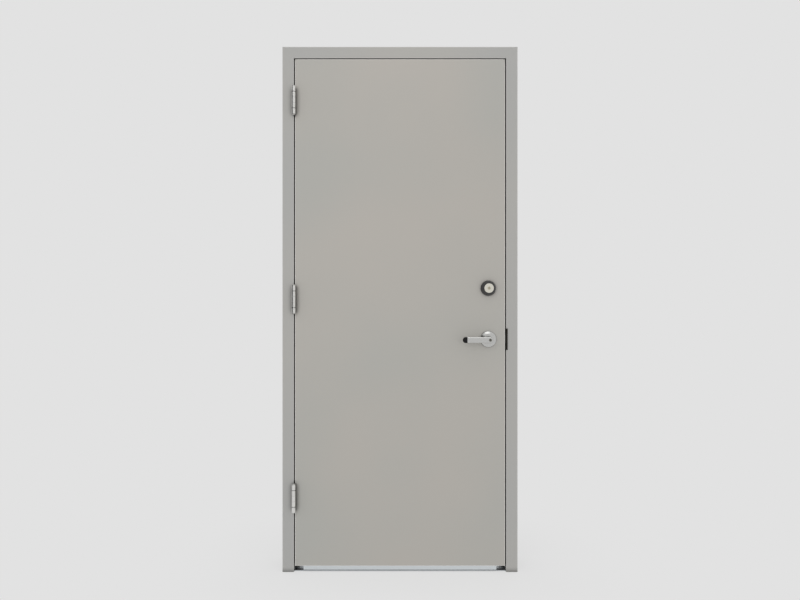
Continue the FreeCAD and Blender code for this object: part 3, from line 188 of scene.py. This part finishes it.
def enamel(name, warm, cool, edge_highlight, roughness):
    """Sprayed and baked paint: warm in the middle, cooler and darker at the sides, with a painted highlight
    at edges and painted shade in the gaps.
    """
    material, tree, shader = start_material(name, Metallic=0.0, Roughness=roughness, IOR=1.5)
    place = add_node(tree, "ShaderNodeTexCoord")
    drift = add_node(tree, "ShaderNodeTexNoise", {"Vector": place.outputs["Object"],
                     "Scale": per_metre(DRIFT_MM), "Detail": 2.0, "Roughness": 0.4})
    split = add_node(tree, "ShaderNodeSeparateXYZ", {"Vector": place.outputs["Object"]})
    aside = add_node(tree, "ShaderNodeMath", {0: split.outputs["X"]}, operation="ABSOLUTE")
    # The colour turns cooler and a little darker toward the sides, past these distances from the middle.
    side = add_node(tree, "ShaderNodeMapRange", {"Value": aside.outputs["Value"],
                    "From Min": SIDE_SHIFT_START_MM * MM, "From Max": SIDE_SHIFT_END_MM * MM,
                    "To Min": SIDE_SHIFT_SWING, "To Max": -SIDE_SHIFT_SWING})
    tone_shift = add_node(tree, "ShaderNodeMath", {0: drift.outputs["Fac"], 1: side.outputs["Result"]},
                     operation="ADD")
    tone = add_node(tree, "ShaderNodeValToRGB", {"Fac": tone_shift.outputs["Value"]})
    tone.color_ramp.elements[0].position = 0.25
    tone.color_ramp.elements[0].color = linear(cool)
    tone.color_ramp.elements[1].position = 0.75
    tone.color_ramp.elements[1].color = linear(warm)
    edge = add_node(tree, "ShaderNodeBevel", {"Radius": EDGE_ROUND_MM * MM}, samples=6)
    own = add_node(tree, "ShaderNodeNewGeometry")
    apart = off_the_mitre(tree, aside.outputs["Value"], split.outputs["Z"])
    soft = add_node(tree, "ShaderNodeMix", {"Factor": apart, 4: own.outputs["Normal"],
                    5: edge.outputs["Normal"]}, data_type="VECTOR")
    # Painted highlight: away from the mitres, the colour turns to the pale edge tone along edges, as if the
    # rounded edge caught the light.
    edge_highlight_mask = add_node(tree, "ShaderNodeMath", {0: on_edges(tree, edge), 1: apart}, operation="MULTIPLY")
    painted_edge_highlight = add_node(tree, "ShaderNodeMix", {"Factor": edge_highlight_mask.outputs["Value"], 6: tone.outputs["Color"],
                    7: linear(edge_highlight)}, data_type="RGBA")
    # Painted shade: the colour darkens to near black in the clearance gap and softly round knuckles and
    # lever.
    shaded = painted_crevice_shade(tree, painted_edge_highlight.outputs[2], GAP_SHADE_REACH_MM, GAP_SHADE_DARK)
    tree.links.new(shaded, shader.inputs["Base Color"])
    peel = add_node(tree, "ShaderNodeTexNoise", {"Vector": place.outputs["Object"],
                    "Scale": per_metre(PEEL_MM), "Detail": 2.0, "Roughness": 0.5})
    gloss = add_node(tree, "ShaderNodeMapRange", {"Value": peel.outputs["Fac"],
                     "To Min": roughness - PEEL_SHINE, "To Max": roughness + PEEL_SHINE})
    tree.links.new(gloss.outputs["Result"], shader.inputs["Roughness"])
    bump = add_node(tree, "ShaderNodeBump", {"Height": peel.outputs["Fac"], "Normal": soft.outputs[1],
                    "Strength": 0.12, "Distance": PEEL_DEPTH_MM * MM})
    tree.links.new(bump.outputs["Normal"], shader.inputs["Normal"])
    return material


leaf_enamel = enamel("baked_enamel_warm_grey", warm="b1aca5", cool="a8a8a3", edge_highlight="efece8", roughness=0.42)
frame_enamel = enamel("baked_enamel_cool_grey", warm="aaa8a3", cool="a5a5a3", edge_highlight="c6c5c1", roughness=0.42)
print("enamels:", leaf_enamel.name, "and", frame_enamel.name)

# %% [markdown]
# ## Brushed and plated metals
# Hinges are satin stainless, brushed along their length. Lever and rose are satin chromium over cast zinc,
# brushed round or along the grip. The cylinder is nickel on brass and a little warmer, and its key plug is
# worn to a duller tone. All have metallic 1 and the default IOR, and differ in colour, roughness and the
# way of the brush. An anisotropic shader could stretch the highlights alone; a noise stretched along one
# axis also shows the scratches themselves, so it was chosen. Real scratches are hundredths of a millimetre
# wide, so they are drawn coarser, at about half a millimetre, to show at all.

# %% Brushed metal finish
BRUSH_MM = 0.5
BRUSH_DEPTH_MM = 0.01
BRUSH_STRETCH = 60
BRUSH_ROUND_MM = 0.5
CREVICE_SHADE_REACH_MM = 9
HINGE_SHADE_REACH_MM = 36


def brushed_metal(name, colour, roughness, along, contrast=0.04, crevice_shade_dark=0.25,
                  crevice_shade_reach_mm=CREVICE_SHADE_REACH_MM, crevice_shade_open=0.85):
    """Satin metal with a fine brush along one axis, and painted shade that darkens it where pieces meet."""
    material, tree, shader = start_material(name, Metallic=1.0, Base_Color=linear(colour),
                                            Roughness=roughness)
    # Painted shade: the colour darkens where other surfaces close in, as at a joint or beside a knuckle.
    tree.links.new(painted_crevice_shade(tree, linear(colour)[:3], crevice_shade_reach_mm, crevice_shade_dark, crevice_shade_open),
                   shader.inputs["Base Color"])
    place = add_node(tree, "ShaderNodeTexCoord")
    stretch = [1.0, 1.0, 1.0]
    stretch["xyz".index(along)] = 1 / BRUSH_STRETCH
    lay = add_node(tree, "ShaderNodeMapping", {"Vector": place.outputs["Object"], "Scale": stretch})
    brush = add_node(tree, "ShaderNodeTexNoise", {"Vector": lay.outputs["Vector"],
                     "Scale": per_metre(BRUSH_MM), "Detail": 2.0, "Roughness": 0.6})
    gloss = add_node(tree, "ShaderNodeMapRange", {"Value": brush.outputs["Fac"],
                     "To Min": roughness - contrast, "To Max": roughness + contrast})
    tree.links.new(gloss.outputs["Result"], shader.inputs["Roughness"])
    edge = add_node(tree, "ShaderNodeBevel", {"Radius": BRUSH_ROUND_MM * MM}, samples=4)
    bump = add_node(tree, "ShaderNodeBump", {"Height": brush.outputs["Fac"], "Normal": edge.outputs["Normal"],
                    "Strength": 0.05, "Distance": BRUSH_DEPTH_MM * MM})
    tree.links.new(bump.outputs["Normal"], shader.inputs["Normal"])
    return material


# The hinges' painted shade reaches far and goes almost black, drawing dark lines beside the knuckles; the
# other metals get a lighter painted shade at their joints.
satin_stainless = brushed_metal("satin_stainless_steel", "e6e5e2", 0.28, along="z", crevice_shade_dark=0.02,
                                crevice_shade_reach_mm=HINGE_SHADE_REACH_MM, crevice_shade_open=0.97)
satin_chrome = brushed_metal("satin_chromium_plate", "cacac8", 0.24, along="x", crevice_shade_dark=0.12)
polished_rings = brushed_metal("ground_bearing_steel", "a9a9a7", 0.20, along="x", contrast=0.03)
nickel_brass = brushed_metal("nickel_plated_brass", "e4e1d5", 0.26, along="y")
plug_brass = brushed_metal("worn_nickel_on_brass_plug", "cac3ae", 0.32, along="y", crevice_shade_dark=0.08)
dull_plug = brushed_metal("dull_nickel_plug", "86847d", 0.40, along="y", crevice_shade_dark=0.05)
plated_bolt = brushed_metal("nickel_plated_bolt_steel", "b9b7b0", 0.28, along="x")
lock_zinc = brushed_metal("zinc_plated_lock_works", "aeaca1", 0.38, along="y")
print("metals:", [m.name for m in (satin_stainless, satin_chrome, polished_rings, nickel_brass, plug_brass,
                                   dull_plug, plated_bolt, lock_zinc)])

# %% [markdown]
# ## Galvanised sheet
# Anchors, backing plates, gussets and the strike boxes stay bare. Hot-dip zinc freezes in spangles, flat
# crystals about 8 mm across that each reflect a little differently. A soft noise would look like stains; a
# cell texture has the crystals' hard borders and gives every one its own brightness and roughness.

# %% Galvanised finish
SPANGLE_MM = 8


def galvanised(name):
    """Zinc-coated sheet with spangles."""
    material, tree, shader = start_material(name, Metallic=1.0, Base_Color=linear("9a9d9f"), Roughness=0.45)
    place = add_node(tree, "ShaderNodeTexCoord")
    cells = add_node(tree, "ShaderNodeTexVoronoi", {"Vector": place.outputs["Object"],
                     "Scale": per_metre(SPANGLE_MM)})
    shade = add_node(tree, "ShaderNodeValToRGB", {"Fac": cells.outputs["Color"]})
    shade.color_ramp.elements[0].color = linear("86898b")
    shade.color_ramp.elements[1].color = linear("aeb1b3")
    tree.links.new(shade.outputs["Color"], shader.inputs["Base Color"])
    gloss = add_node(tree, "ShaderNodeMapRange", {"Value": cells.outputs["Color"],
                     "To Min": 0.36, "To Max": 0.52})
    tree.links.new(gloss.outputs["Result"], shader.inputs["Roughness"])
    return material


zinc_sheet = galvanised("galvanised_sheet_steel")
print("sheet:", zinc_sheet.name)

# %% [markdown]
# ## Mill-finish aluminium
# The saddle is an extrusion, so its die lines run the whole length of the doorway. It is left as it comes
# from the press: a soft, slightly blue metal, duller than a brushed one. The seal carrier under the leaf is
# the same metal, clear anodised and a little paler. Lines could be cut into the mesh, but they are a few
# hundredths of a millimetre deep, so a noise drawn out along the length tilts the surface for them.

# %% Extruded aluminium finish
DIE_LINE_MM = 0.8
DIE_LINE_DEPTH_MM = 0.03
DIE_LINE_STRETCH = 100


def extruded_aluminium(name, colour):
    """Mill finish or clear anodised, with die lines along X."""
    material, tree, shader = start_material(name, Metallic=1.0, Base_Color=linear(colour), Roughness=0.42)
    place = add_node(tree, "ShaderNodeTexCoord")
    lay = add_node(tree, "ShaderNodeMapping", {"Vector": place.outputs["Object"],
                   "Scale": [1 / DIE_LINE_STRETCH, 1.0, 1.0]})
    lines = add_node(tree, "ShaderNodeTexNoise", {"Vector": lay.outputs["Vector"],
                     "Scale": per_metre(DIE_LINE_MM), "Detail": 3.0})
    gloss = add_node(tree, "ShaderNodeMapRange", {"Value": lines.outputs["Fac"],
                     "To Min": 0.34, "To Max": 0.50})
    tree.links.new(gloss.outputs["Result"], shader.inputs["Roughness"])
    bump = add_node(tree, "ShaderNodeBump", {"Height": lines.outputs["Fac"], "Strength": 0.2,
                    "Distance": DIE_LINE_DEPTH_MM * MM})
    tree.links.new(bump.outputs["Normal"], shader.inputs["Normal"])
    return material


mill_aluminium = extruded_aluminium("mill_finish_aluminium", "cdd1d4")
clear_anodised = extruded_aluminium("clear_anodised_aluminium", "dce1e4")
print("saddle:", mill_aluminium.name, "- seal carrier:", clear_anodised.name)

# %% [markdown]
# ## Dark pieces: coated collar, blackened strikes, rubber and plastic
# The collar round the cylinder is cast and powder coated in charcoal, with a grain of about half a
# millimetre. The strikes are blackened steel. The seals are extruded rubber, almost without shine. The
# lever's tip is moulded ABS with a fine spark-eroded texture. Four finishes that differ so little need one
# recipe: a noise of one grain size shifts the colour between two darks and tilts the surface. All but the
# tip's grain is drawn about three times as wide as the real one, so that it shows.

# %% Grained dark finish
MOULD_ROUND_MM = 0.5


def grained(name, colour, other, roughness, grain_mm, depth_mm, metallic=0.0, shine=0.5):
    """A dark coat or moulding: one colour drifting to another, with an even grain."""
    material, tree, shader = start_material(name, Metallic=metallic, Base_Color=linear(colour),
                                            Roughness=roughness, Specular_IOR_Level=shine)
    place = add_node(tree, "ShaderNodeTexCoord")
    grain = add_node(tree, "ShaderNodeTexNoise", {"Vector": place.outputs["Object"],
                     "Scale": per_metre(grain_mm), "Detail": 2.0})
    shade = add_node(tree, "ShaderNodeMix", {"Factor": grain.outputs["Fac"], 6: linear(colour),
                     7: linear(other)}, data_type="RGBA")
    tree.links.new(shade.outputs[2], shader.inputs["Base Color"])
    edge = add_node(tree, "ShaderNodeBevel", {"Radius": MOULD_ROUND_MM * MM}, samples=4)
    bump = add_node(tree, "ShaderNodeBump", {"Height": grain.outputs["Fac"], "Strength": 0.3,
                    "Distance": depth_mm * MM, "Normal": edge.outputs["Normal"]})
    tree.links.new(bump.outputs["Normal"], shader.inputs["Normal"])
    return material


charcoal_coat = grained("charcoal_powder_coat", "18181a", "434345", roughness=0.36, grain_mm=1.6,
                        depth_mm=0.16, shine=0.35)
blackened_steel = grained("blackened_strike_steel", "2e2c28", "3a3832", roughness=0.42, grain_mm=1.2,
                          depth_mm=0.03, metallic=0.6)
seal_rubber = grained("extruded_seal_rubber", "151514", "1e1e1d", roughness=0.75, grain_mm=1.5,
                      depth_mm=0.05)
moulded_abs = grained("moulded_black_abs", "060607", "0c0c0d", roughness=0.30, grain_mm=0.5,
                      depth_mm=0.02, shine=0.25)
print("dark pieces:", [m.name for m in (charcoal_coat, blackened_steel, seal_rubber, moulded_abs)])

# %% [markdown]
# ## Paper honeycomb
# The leaf's two skins are glued to a core of kraft paper cells. Nothing of it shows on a whole leaf, but it
# is a piece of the model, so it gets its own paper: light brown, matt, with cells 13 mm across. Thousands
# of cell walls in the mesh would slow everything for a piece that hides, so a cell texture without any
# randomness draws them.

# %% Kraft paper finish
CELL_MM = 13
WALL_SHARE = 0.12


def kraft_paper(name):
    """Brown paper cells, seen only if the leaf is cut open."""
    material, tree, shader = start_material(name, Roughness=0.9, Base_Color=linear("a98d63"))
    place = add_node(tree, "ShaderNodeTexCoord")
    cells = add_node(tree, "ShaderNodeTexVoronoi", {"Vector": place.outputs["Object"],
                     "Scale": per_metre(CELL_MM), "Randomness": 0.0}, feature="DISTANCE_TO_EDGE")
    shade = add_node(tree, "ShaderNodeValToRGB", {"Fac": cells.outputs["Distance"]})
    shade.color_ramp.elements[0].color = linear("8c734c")
    shade.color_ramp.elements[1].color = linear("b0946a")
    shade.color_ramp.elements[1].position = WALL_SHARE
    tree.links.new(shade.outputs["Color"], shader.inputs["Base Color"])
    return material


honeycomb_paper = kraft_paper("kraft_paper_honeycomb")
print("core:", honeycomb_paper.name)

# %% [markdown]
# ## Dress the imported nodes
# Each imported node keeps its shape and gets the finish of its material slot. The slots come with the model,
# so a table from slot to finish dresses every piece at once and none is forgotten. The key plugs and the
# turn button are more worn than their slots' other pieces, so a second, short table names them.

# %% Finishes on nodes
finish_of_slot = {
    "frame_paint": frame_enamel, "leaf_paint": leaf_enamel, "galvanised_steel": zinc_sheet,
    "honeycomb_core": honeycomb_paper, "mill_aluminium": mill_aluminium,
    "satin_hinge_steel": satin_stainless, "bearing_steel": polished_rings, "seal_rubber": seal_rubber,
    "dark_strike_steel": blackened_steel, "satin_trim": satin_chrome, "zinc_works": lock_zinc,
    "bolt_steel": plated_bolt, "dark_collar": charcoal_coat, "nickel_cylinder": nickel_brass,
    "black_tip": moulded_abs,
}
finish_of_node = {"deadbolt_key_plug": plug_brass, "lever_key_plug": dull_plug,
                  "inside_turn_button": plug_brass}
for part in frame["record"]["subparts"]:
    piece = nodes[part["node"]]
    piece.data.materials.clear()
    piece.data.materials.append(finish_of_node.get(part["node"]) or finish_of_slot[part["material_slot"]])

# %% [markdown]
# ## Cross-recessed screws
# Hinges, strikes, faceplates and the inside rose are held by screws with a cross recess for the driver.
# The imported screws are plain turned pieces. A cross could be cut out of each with a boolean, which leaves
# ragged faces on a coarse mesh. Instead each screw is turned again from its own outline, and the head's
# face is filled between its rim and a cross, whose walls taper down to a smaller cross, as the punch that
# makes a recess leaves it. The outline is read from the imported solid, so every size stays as it was.

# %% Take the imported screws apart
WELD_MM = 0.001


def separate_solids(name):
    """The corners of each separate solid in a node, as lists of points in metres."""
    mesh = bmesh.new()
    mesh.from_mesh(nodes[name].data)
    mesh.transform(nodes[name].matrix_world)
    bmesh.ops.remove_doubles(mesh, verts=mesh.verts, dist=WELD_MM * MM)
    seen = set()
    solids = []
    for start in mesh.verts:
        if start in seen:
            continue
        seen.add(start)
        waiting, points = [start], []
        while waiting:
            vert = waiting.pop()
            points.append(vert.co.copy())
            for edge in vert.link_edges:
                other = edge.other_vert(vert)
                if other not in seen:
                    seen.add(other)
                    waiting.append(other)
        solids.append(points)
    mesh.free()
    return solids


def turned_outline(points):
    """Where a screw's head faces, which way it points, and its outline of (depth, radius) pairs."""
    low = Vector([min(p[k] for p in points) for k in range(3)])
    high = Vector([max(p[k] for p in points) for k in range(3)])
    centre = (low + high) / 2
    size = high - low
    axis = max(range(3), key=lambda k: abs(size[k] - (size[k - 1] + size[k - 2]) / 2))
    into = Vector([float(k == axis) for k in range(3)])
    outline = {}
    for point in points:
        along = round((point[axis] - low[axis]) / MM, 2)
        radius = (point - centre - into * (point - centre).dot(into)).length / MM
        outline[along] = max(outline.get(along, 0), radius)
    if outline[min(outline)] < outline[max(outline)]:
        far = max(outline)
        outline = {round(far - along, 2): radius for along, radius in outline.items()}
        into = -into
    head = centre - into * size[axis] / 2
    return head, into, sorted(outline.items())


print("solids:", {name: len(separate_solids(name)) for name in ("frame_hinge_screws", "thumbturn_screws")})

# %% [markdown]
# ## Turn them again with a recess
# A recess bends the light at the middle of every head, which a painted cross wouldn't do, so it is real
# geometry. Its shares are typical of a cross drive, measured against the head's radius: how long an arm is,
# half its width, how deep the recess goes, and how much of the cross is left at the bottom.

# %% Screws with a cross recess
TURN_STEPS = 24
ARM_SHARE = 0.56
ARM_HALF_SHARE = 0.13
RECESS_SHARE = 0.42
PIT_SHARES = (0.5, 0.6)


def cross_screw(mesh, head, into, outline):
    """Add one screw to the mesh: turned outline, head's face with a tapered cross in it, flat tail."""
    across = into.orthogonal().normalized()
    upward = into.cross(across)
    turn = [2 * math.pi * step / TURN_STEPS for step in range(TURN_STEPS)]

    def at(depth, a, b):
        return mesh.verts.new(head + (into * depth + across * a + upward * b) * MM)

    rings = [[at(depth, radius * math.cos(t), radius * math.sin(t)) for t in turn]
             for depth, radius in outline]
    for near, far in zip(rings, rings[1:]):
        for step in range(TURN_STEPS):
            mesh.faces.new((near[step - 1], near[step], far[step], far[step - 1]))
    mesh.faces.new(rings[-1])
    wide = outline[0][1]
    arm, half, deep = wide * ARM_SHARE, wide * ARM_HALF_SHARE, wide * RECESS_SHARE
    corners = [(arm, -half), (arm, half), (half, half), (half, arm), (-half, arm), (-half, half),
               (-arm, half), (-arm, -half), (-half, -half), (-half, -arm), (half, -arm), (half, -half)]
    mouth = [at(outline[0][0], a, b) for a, b in corners]
    pit = [at(outline[0][0] + deep, a * PIT_SHARES[0], b * PIT_SHARES[1]) for a, b in corners]
    for step in range(len(corners)):
        mesh.faces.new((mouth[step - 1], mouth[step], pit[step], pit[step - 1]))
    mesh.faces.new(pit)
    rims = [mesh.edges.get((ring[step - 1], ring[step])) or mesh.edges.new((ring[step - 1], ring[step]))
            for ring in (rings[0], mouth) for step in range(len(ring))]
    bmesh.ops.triangle_fill(mesh, edges=rims, use_beauty=True, use_dissolve=False, normal=-into)


def cross_screws(name, body, finish):
    """Screws with a recess in place of a node's plain ones."""
    mesh = bmesh.new()
    solids = separate_solids(name)
    for points in solids:
        cross_screw(mesh, *turned_outline(points))
    bmesh.ops.recalc_face_normals(mesh, faces=mesh.faces)
    data = bpy.data.meshes.new(name + "_cross_recessed")
    mesh.to_mesh(data)
    mesh.free()
    piece = bpy.data.objects.new(name + "_cross_recessed", data)
    bpy.context.collection.objects.link(piece)
    data.materials.append(finish)
    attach(piece, body)
    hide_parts(name)
    return len(solids)


screw_counts = {name: cross_screws(name, body, finish) for name, body, finish in (
    ("frame_hinge_screws", "frame", satin_stainless), ("door_hinge_screws", "door", satin_stainless),
    ("strike_screws", "frame", blackened_steel), ("faceplate_screws", "door", plated_bolt),
    ("thumbturn_screws", "door", satin_chrome))}
print("screws:", screw_counts)

# %% [markdown]
# ## Door bottom seal
# Under the leaf runs a thin seal that closes most of the way down to the saddle: an aluminium carrier with
# a black rubber fin in its foot. It stops short of both lock and hinge edge, so that the corners stay dark.
# A bevelled box would do for the carrier but not for the tapering fin. Both are extrusions, so each is a
# small outline drawn once and pulled along the leaf, as the press does it. They ride with the leaf, and
# the fin clears the saddle by less than a millimetre.

# %% Carrier and fin under the leaf
SEAL_SHORT_MM = 36
CARRIER_CLEAR_MM = 2.8
FIN_CLEAR_MM = 0.8
leaf_low, leaf_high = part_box("front_skin")
saddle_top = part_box("threshold")[1].z
seal_half = leaf_high.x - SEAL_SHORT_MM * MM


def extruded_strip(name, outline_mm, finish, rounding_mm):
    """An outline of (Y, Z) corners, from the leaf's face and the saddle, pulled along X and rounded."""
    mesh = bmesh.new()
    start = [mesh.verts.new((-seal_half, leaf_low.y + y * MM, saddle_top + z * MM)) for y, z in outline_mm]
    face = mesh.faces.new(start)
    pulled = bmesh.ops.extrude_face_region(mesh, geom=[face])["geom"]
    bmesh.ops.translate(mesh, vec=(2 * seal_half, 0, 0),
                        verts=[v for v in pulled if isinstance(v, bmesh.types.BMVert)])
    long_edges = [e for e in mesh.edges if abs(e.verts[0].co.x - e.verts[1].co.x) > seal_half]
    bmesh.ops.bevel(mesh, geom=long_edges, offset=rounding_mm * MM, segments=3, profile=0.5, affect="EDGES")
    bmesh.ops.recalc_face_normals(mesh, faces=mesh.faces)
    data = bpy.data.meshes.new(name)
    mesh.to_mesh(data)
    mesh.free()
    piece = bpy.data.objects.new(name, data)
    bpy.context.collection.objects.link(piece)
    data.materials.append(finish)
    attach(piece, "door")


seal_top = (leaf_low.z - saddle_top) / MM
carrier = [(1.2, seal_top), (12.0, seal_top), (12.0, seal_top - 4.0), (8.2, CARRIER_CLEAR_MM),
           (1.2, CARRIER_CLEAR_MM)]
fin = [(3.2, CARRIER_CLEAR_MM), (6.2, CARRIER_CLEAR_MM), (5.6, FIN_CLEAR_MM), (3.8, FIN_CLEAR_MM)]
extruded_strip("seal_carrier", carrier, clear_anodised, 0.6)
extruded_strip("seal_fin", fin, seal_rubber, 0.3)
print("seal", round(2 * seal_half, 3), "m long, from", FIN_CLEAR_MM, "to", round(seal_top, 1),
      "mm over the saddle")

# %% [markdown]
# ## Floor and background
# A plain pale studio. The floor takes the door's real shadow near its foot, and a painted contact shadow
# darkens its plain grey where the door stands close; it melts into the background a short way out, so that
# no horizon shows. A floor lit to that grey would need lamps that spoil the door's own tones, so the
# background colour is painted by Light Path: a ray from the camera, or one that a mirror or a glass sends
# on, sees the pale grey, while an even white sky of its own strength lights the door.

# %% Floor and world
PALE = "e2e2e2"
FLOOR_HALF = 12.0
SHADE_REACH = 0.6
SHADE_SHARE = 0.2
CONTACT_SHADOW_REACH_MM = 18
CONTACT_SHADOW_DARK = 0.75
SKY_STRENGTH = 0.75


def pale_floor():
    """A floor that is partly lit and shaded at the door's foot, with painted contact shadow on its plain grey
    there, and plain background further out.
    """
    mesh = bpy.data.meshes.new("floor")
    corners = [(x * FLOOR_HALF, y * FLOOR_HALF, 0) for x, y in ((-1, -1), (1, -1), (1, 1), (-1, 1))]
    mesh.from_pydata(corners, [], [(0, 1, 2, 3)])
    floor = bpy.data.objects.new("floor", mesh)
    bpy.context.collection.objects.link(floor)
    material, tree, shader = start_material("pale_studio_floor", Roughness=0.9,
                                            Base_Color=linear("f4f4f4"), Specular_IOR_Level=0.0)
    place = add_node(tree, "ShaderNodeTexCoord")
    aside = add_node(tree, "ShaderNodeVectorMath", {0: place.outputs["Object"]}, operation="ABSOLUTE")
    beyond = add_node(tree, "ShaderNodeVectorMath", {0: aside.outputs["Vector"],
                      1: [cad_box[1].x, cad_box[1].y, 0.0]}, operation="SUBTRACT")
    outside = add_node(tree, "ShaderNodeVectorMath", {0: beyond.outputs["Vector"], 1: [0.0, 0.0, 0.0]},
                       operation="MAXIMUM")
    reach = add_node(tree, "ShaderNodeVectorMath", {0: outside.outputs["Vector"]}, operation="LENGTH")
    share = add_node(tree, "ShaderNodeMapRange", {"Value": reach.outputs["Value"], "From Max": SHADE_REACH,
                     "To Min": SHADE_SHARE, "To Max": 0.0}, interpolation_type="SMOOTHSTEP")
    plain = add_node(tree, "ShaderNodeEmission", {"Strength": 1.0})
    # Painted contact shadow: the plain grey darkens where the door's foot closes in.
    painted_contact_shadow = painted_crevice_shade(tree, linear(PALE)[:3], CONTACT_SHADOW_REACH_MM, CONTACT_SHADOW_DARK, open_from=0.6)
    tree.links.new(painted_contact_shadow, plain.inputs["Color"])
    blend = add_node(tree, "ShaderNodeMixShader", {0: share.outputs["Result"],
                     1: plain.outputs["Emission"], 2: shader.outputs["BSDF"]})
    tree.links.new(blend.outputs["Shader"], tree.nodes["Material Output"].inputs["Surface"])
    mesh.materials.append(material)


def studio_world():
    """White light for surfaces, the pale background for eyes and mirrors."""
    world = bpy.data.worlds.new("pale_studio")
    bpy.context.scene.world = world
    world.use_nodes = True
    tree = world.node_tree
    sky = tree.nodes["Background"]
    sky.inputs["Color"].default_value = linear("ffffff")
    sky.inputs["Strength"].default_value = SKY_STRENGTH
    seen = add_node(tree, "ShaderNodeBackground", {"Color": linear(PALE), "Strength": 1.0})
    ray = add_node(tree, "ShaderNodeLightPath")
    eye_or_mirror = add_node(tree, "ShaderNodeMath", {0: ray.outputs["Is Camera Ray"],
                             1: ray.outputs["Is Glossy Ray"]}, operation="MAXIMUM")
    any_of_three = add_node(tree, "ShaderNodeMath", {0: eye_or_mirror.outputs["Value"],
                            1: ray.outputs["Is Transmission Ray"]}, operation="MAXIMUM")
    blend = add_node(tree, "ShaderNodeMixShader", {0: any_of_three.outputs["Value"],
                     1: sky.outputs["Background"], 2: seen.outputs["Background"]})
    tree.links.new(blend.outputs["Shader"], tree.nodes["World Output"].inputs["Surface"])


pale_floor()
studio_world()
print("sky strength", SKY_STRENGTH, "- the floor's shade fades out over", SHADE_REACH, "m")

# %% [markdown]
# ## Soft lamps and a black flag
# Two wide softboxes give the door its direction of light: a big one high on the left and a weaker one low
# on the right. A third one overhead is seen by reflections alone, and draws the bright line along the top
# of the lever. Each is set by how bright its cloth looks, so that it stays near white in a metal's
# reflection. Small hard lamps would be simpler and would leave burnt spots on the metal. Metal shows its
# shape by what it mirrors, and in an all-white room it looks flat. So a black flag stands on the left, as
# in a product studio. It is seen only by reflections: round bars and knuckles get a dark line along that
# side.

# %% Lamps and flag
FLAG_FOOT = 0.02
middle = (cad_box[0] + cad_box[1]) / 2


def soft_lamp(name, place, size, cloth, hidden_from):
    """A square softbox that looks at the door's middle; its cloth's brightness is set, 1 being white."""
    lamp = bpy.data.lights.new(name, "AREA")
    lamp.size = size
    lamp.energy = cloth * math.pi * size * size
    holder = bpy.data.objects.new(name, lamp)
    bpy.context.collection.objects.link(holder)
    holder.location = place
    holder.rotation_euler = (middle - Vector(place)).to_track_quat("-Z", "Y").to_euler()
    setattr(holder, "visible_" + hidden_from, False)


def black_flag(name, x, near, far, tall):
    """An upright black cloth across the side, seen by reflections alone."""
    mesh = bpy.data.meshes.new(name)
    corners = [(x, near, FLAG_FOOT), (x, far, FLAG_FOOT), (x, far, tall), (x, near, tall)]
    mesh.from_pydata(corners, [], [(0, 1, 2, 3)])
    flag = bpy.data.objects.new(name, mesh)
    bpy.context.collection.objects.link(flag)
    material, _, _ = start_material(name + "_velvet", Roughness=1.0, Base_Color=linear("101010"))
    mesh.materials.append(material)
    for kind in ("camera", "diffuse", "shadow", "transmission", "volume_scatter"):
        setattr(flag, "visible_" + kind, False)


soft_lamp("key_softbox", (-1.6, -4.2, 2.1), size=3.0, cloth=1.5, hidden_from="glossy")
soft_lamp("fill_softbox", (2.4, -4.2, 1.2), size=2.4, cloth=0.8, hidden_from="glossy")
soft_lamp("sheen_softbox", (0.2, -1.0, 3.5), size=1.8, cloth=1.15, hidden_from="diffuse")
black_flag("left_flag", x=-2.2, near=-3.4, far=-0.1, tall=3.0)
print("softboxes and flag stand round", tuple(round(c, 3) for c in middle))

# %% [markdown]
# ## Camera
# The door is seen straight on, from two and a half metres in front of the frame and at about the height of
# its middle. A farther camera with a longer lens would flatten it: from here a knuckle or a lever that
# stands out from the leaf shifts a little outward, as it does to a person in front of the door. The lens is
# worked out from the width that the view takes in at the frame's face.

# %% Camera
CAMERA_REACH = 2.5
CAMERA_HEIGHT = 1.131
VIEW_WIDTH = 3.3264
SENSOR_MM = 36

camera_data = bpy.data.cameras.new("camera")
camera_data.sensor_width = SENSOR_MM
camera_data.lens = SENSOR_MM * CAMERA_REACH / VIEW_WIDTH
camera = bpy.data.objects.new("camera", camera_data)
bpy.context.collection.objects.link(camera)
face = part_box("strike_jamb")[0].y
camera.location = (0.0, face - CAMERA_REACH, CAMERA_HEIGHT)
camera.rotation_euler = (math.radians(90), 0, 0)
bpy.context.scene.camera = camera
bpy.context.scene.view_settings.view_transform = "Standard"
print("lens", round(camera_data.lens, 2), "mm, camera at", tuple(round(c, 3) for c in camera.location))
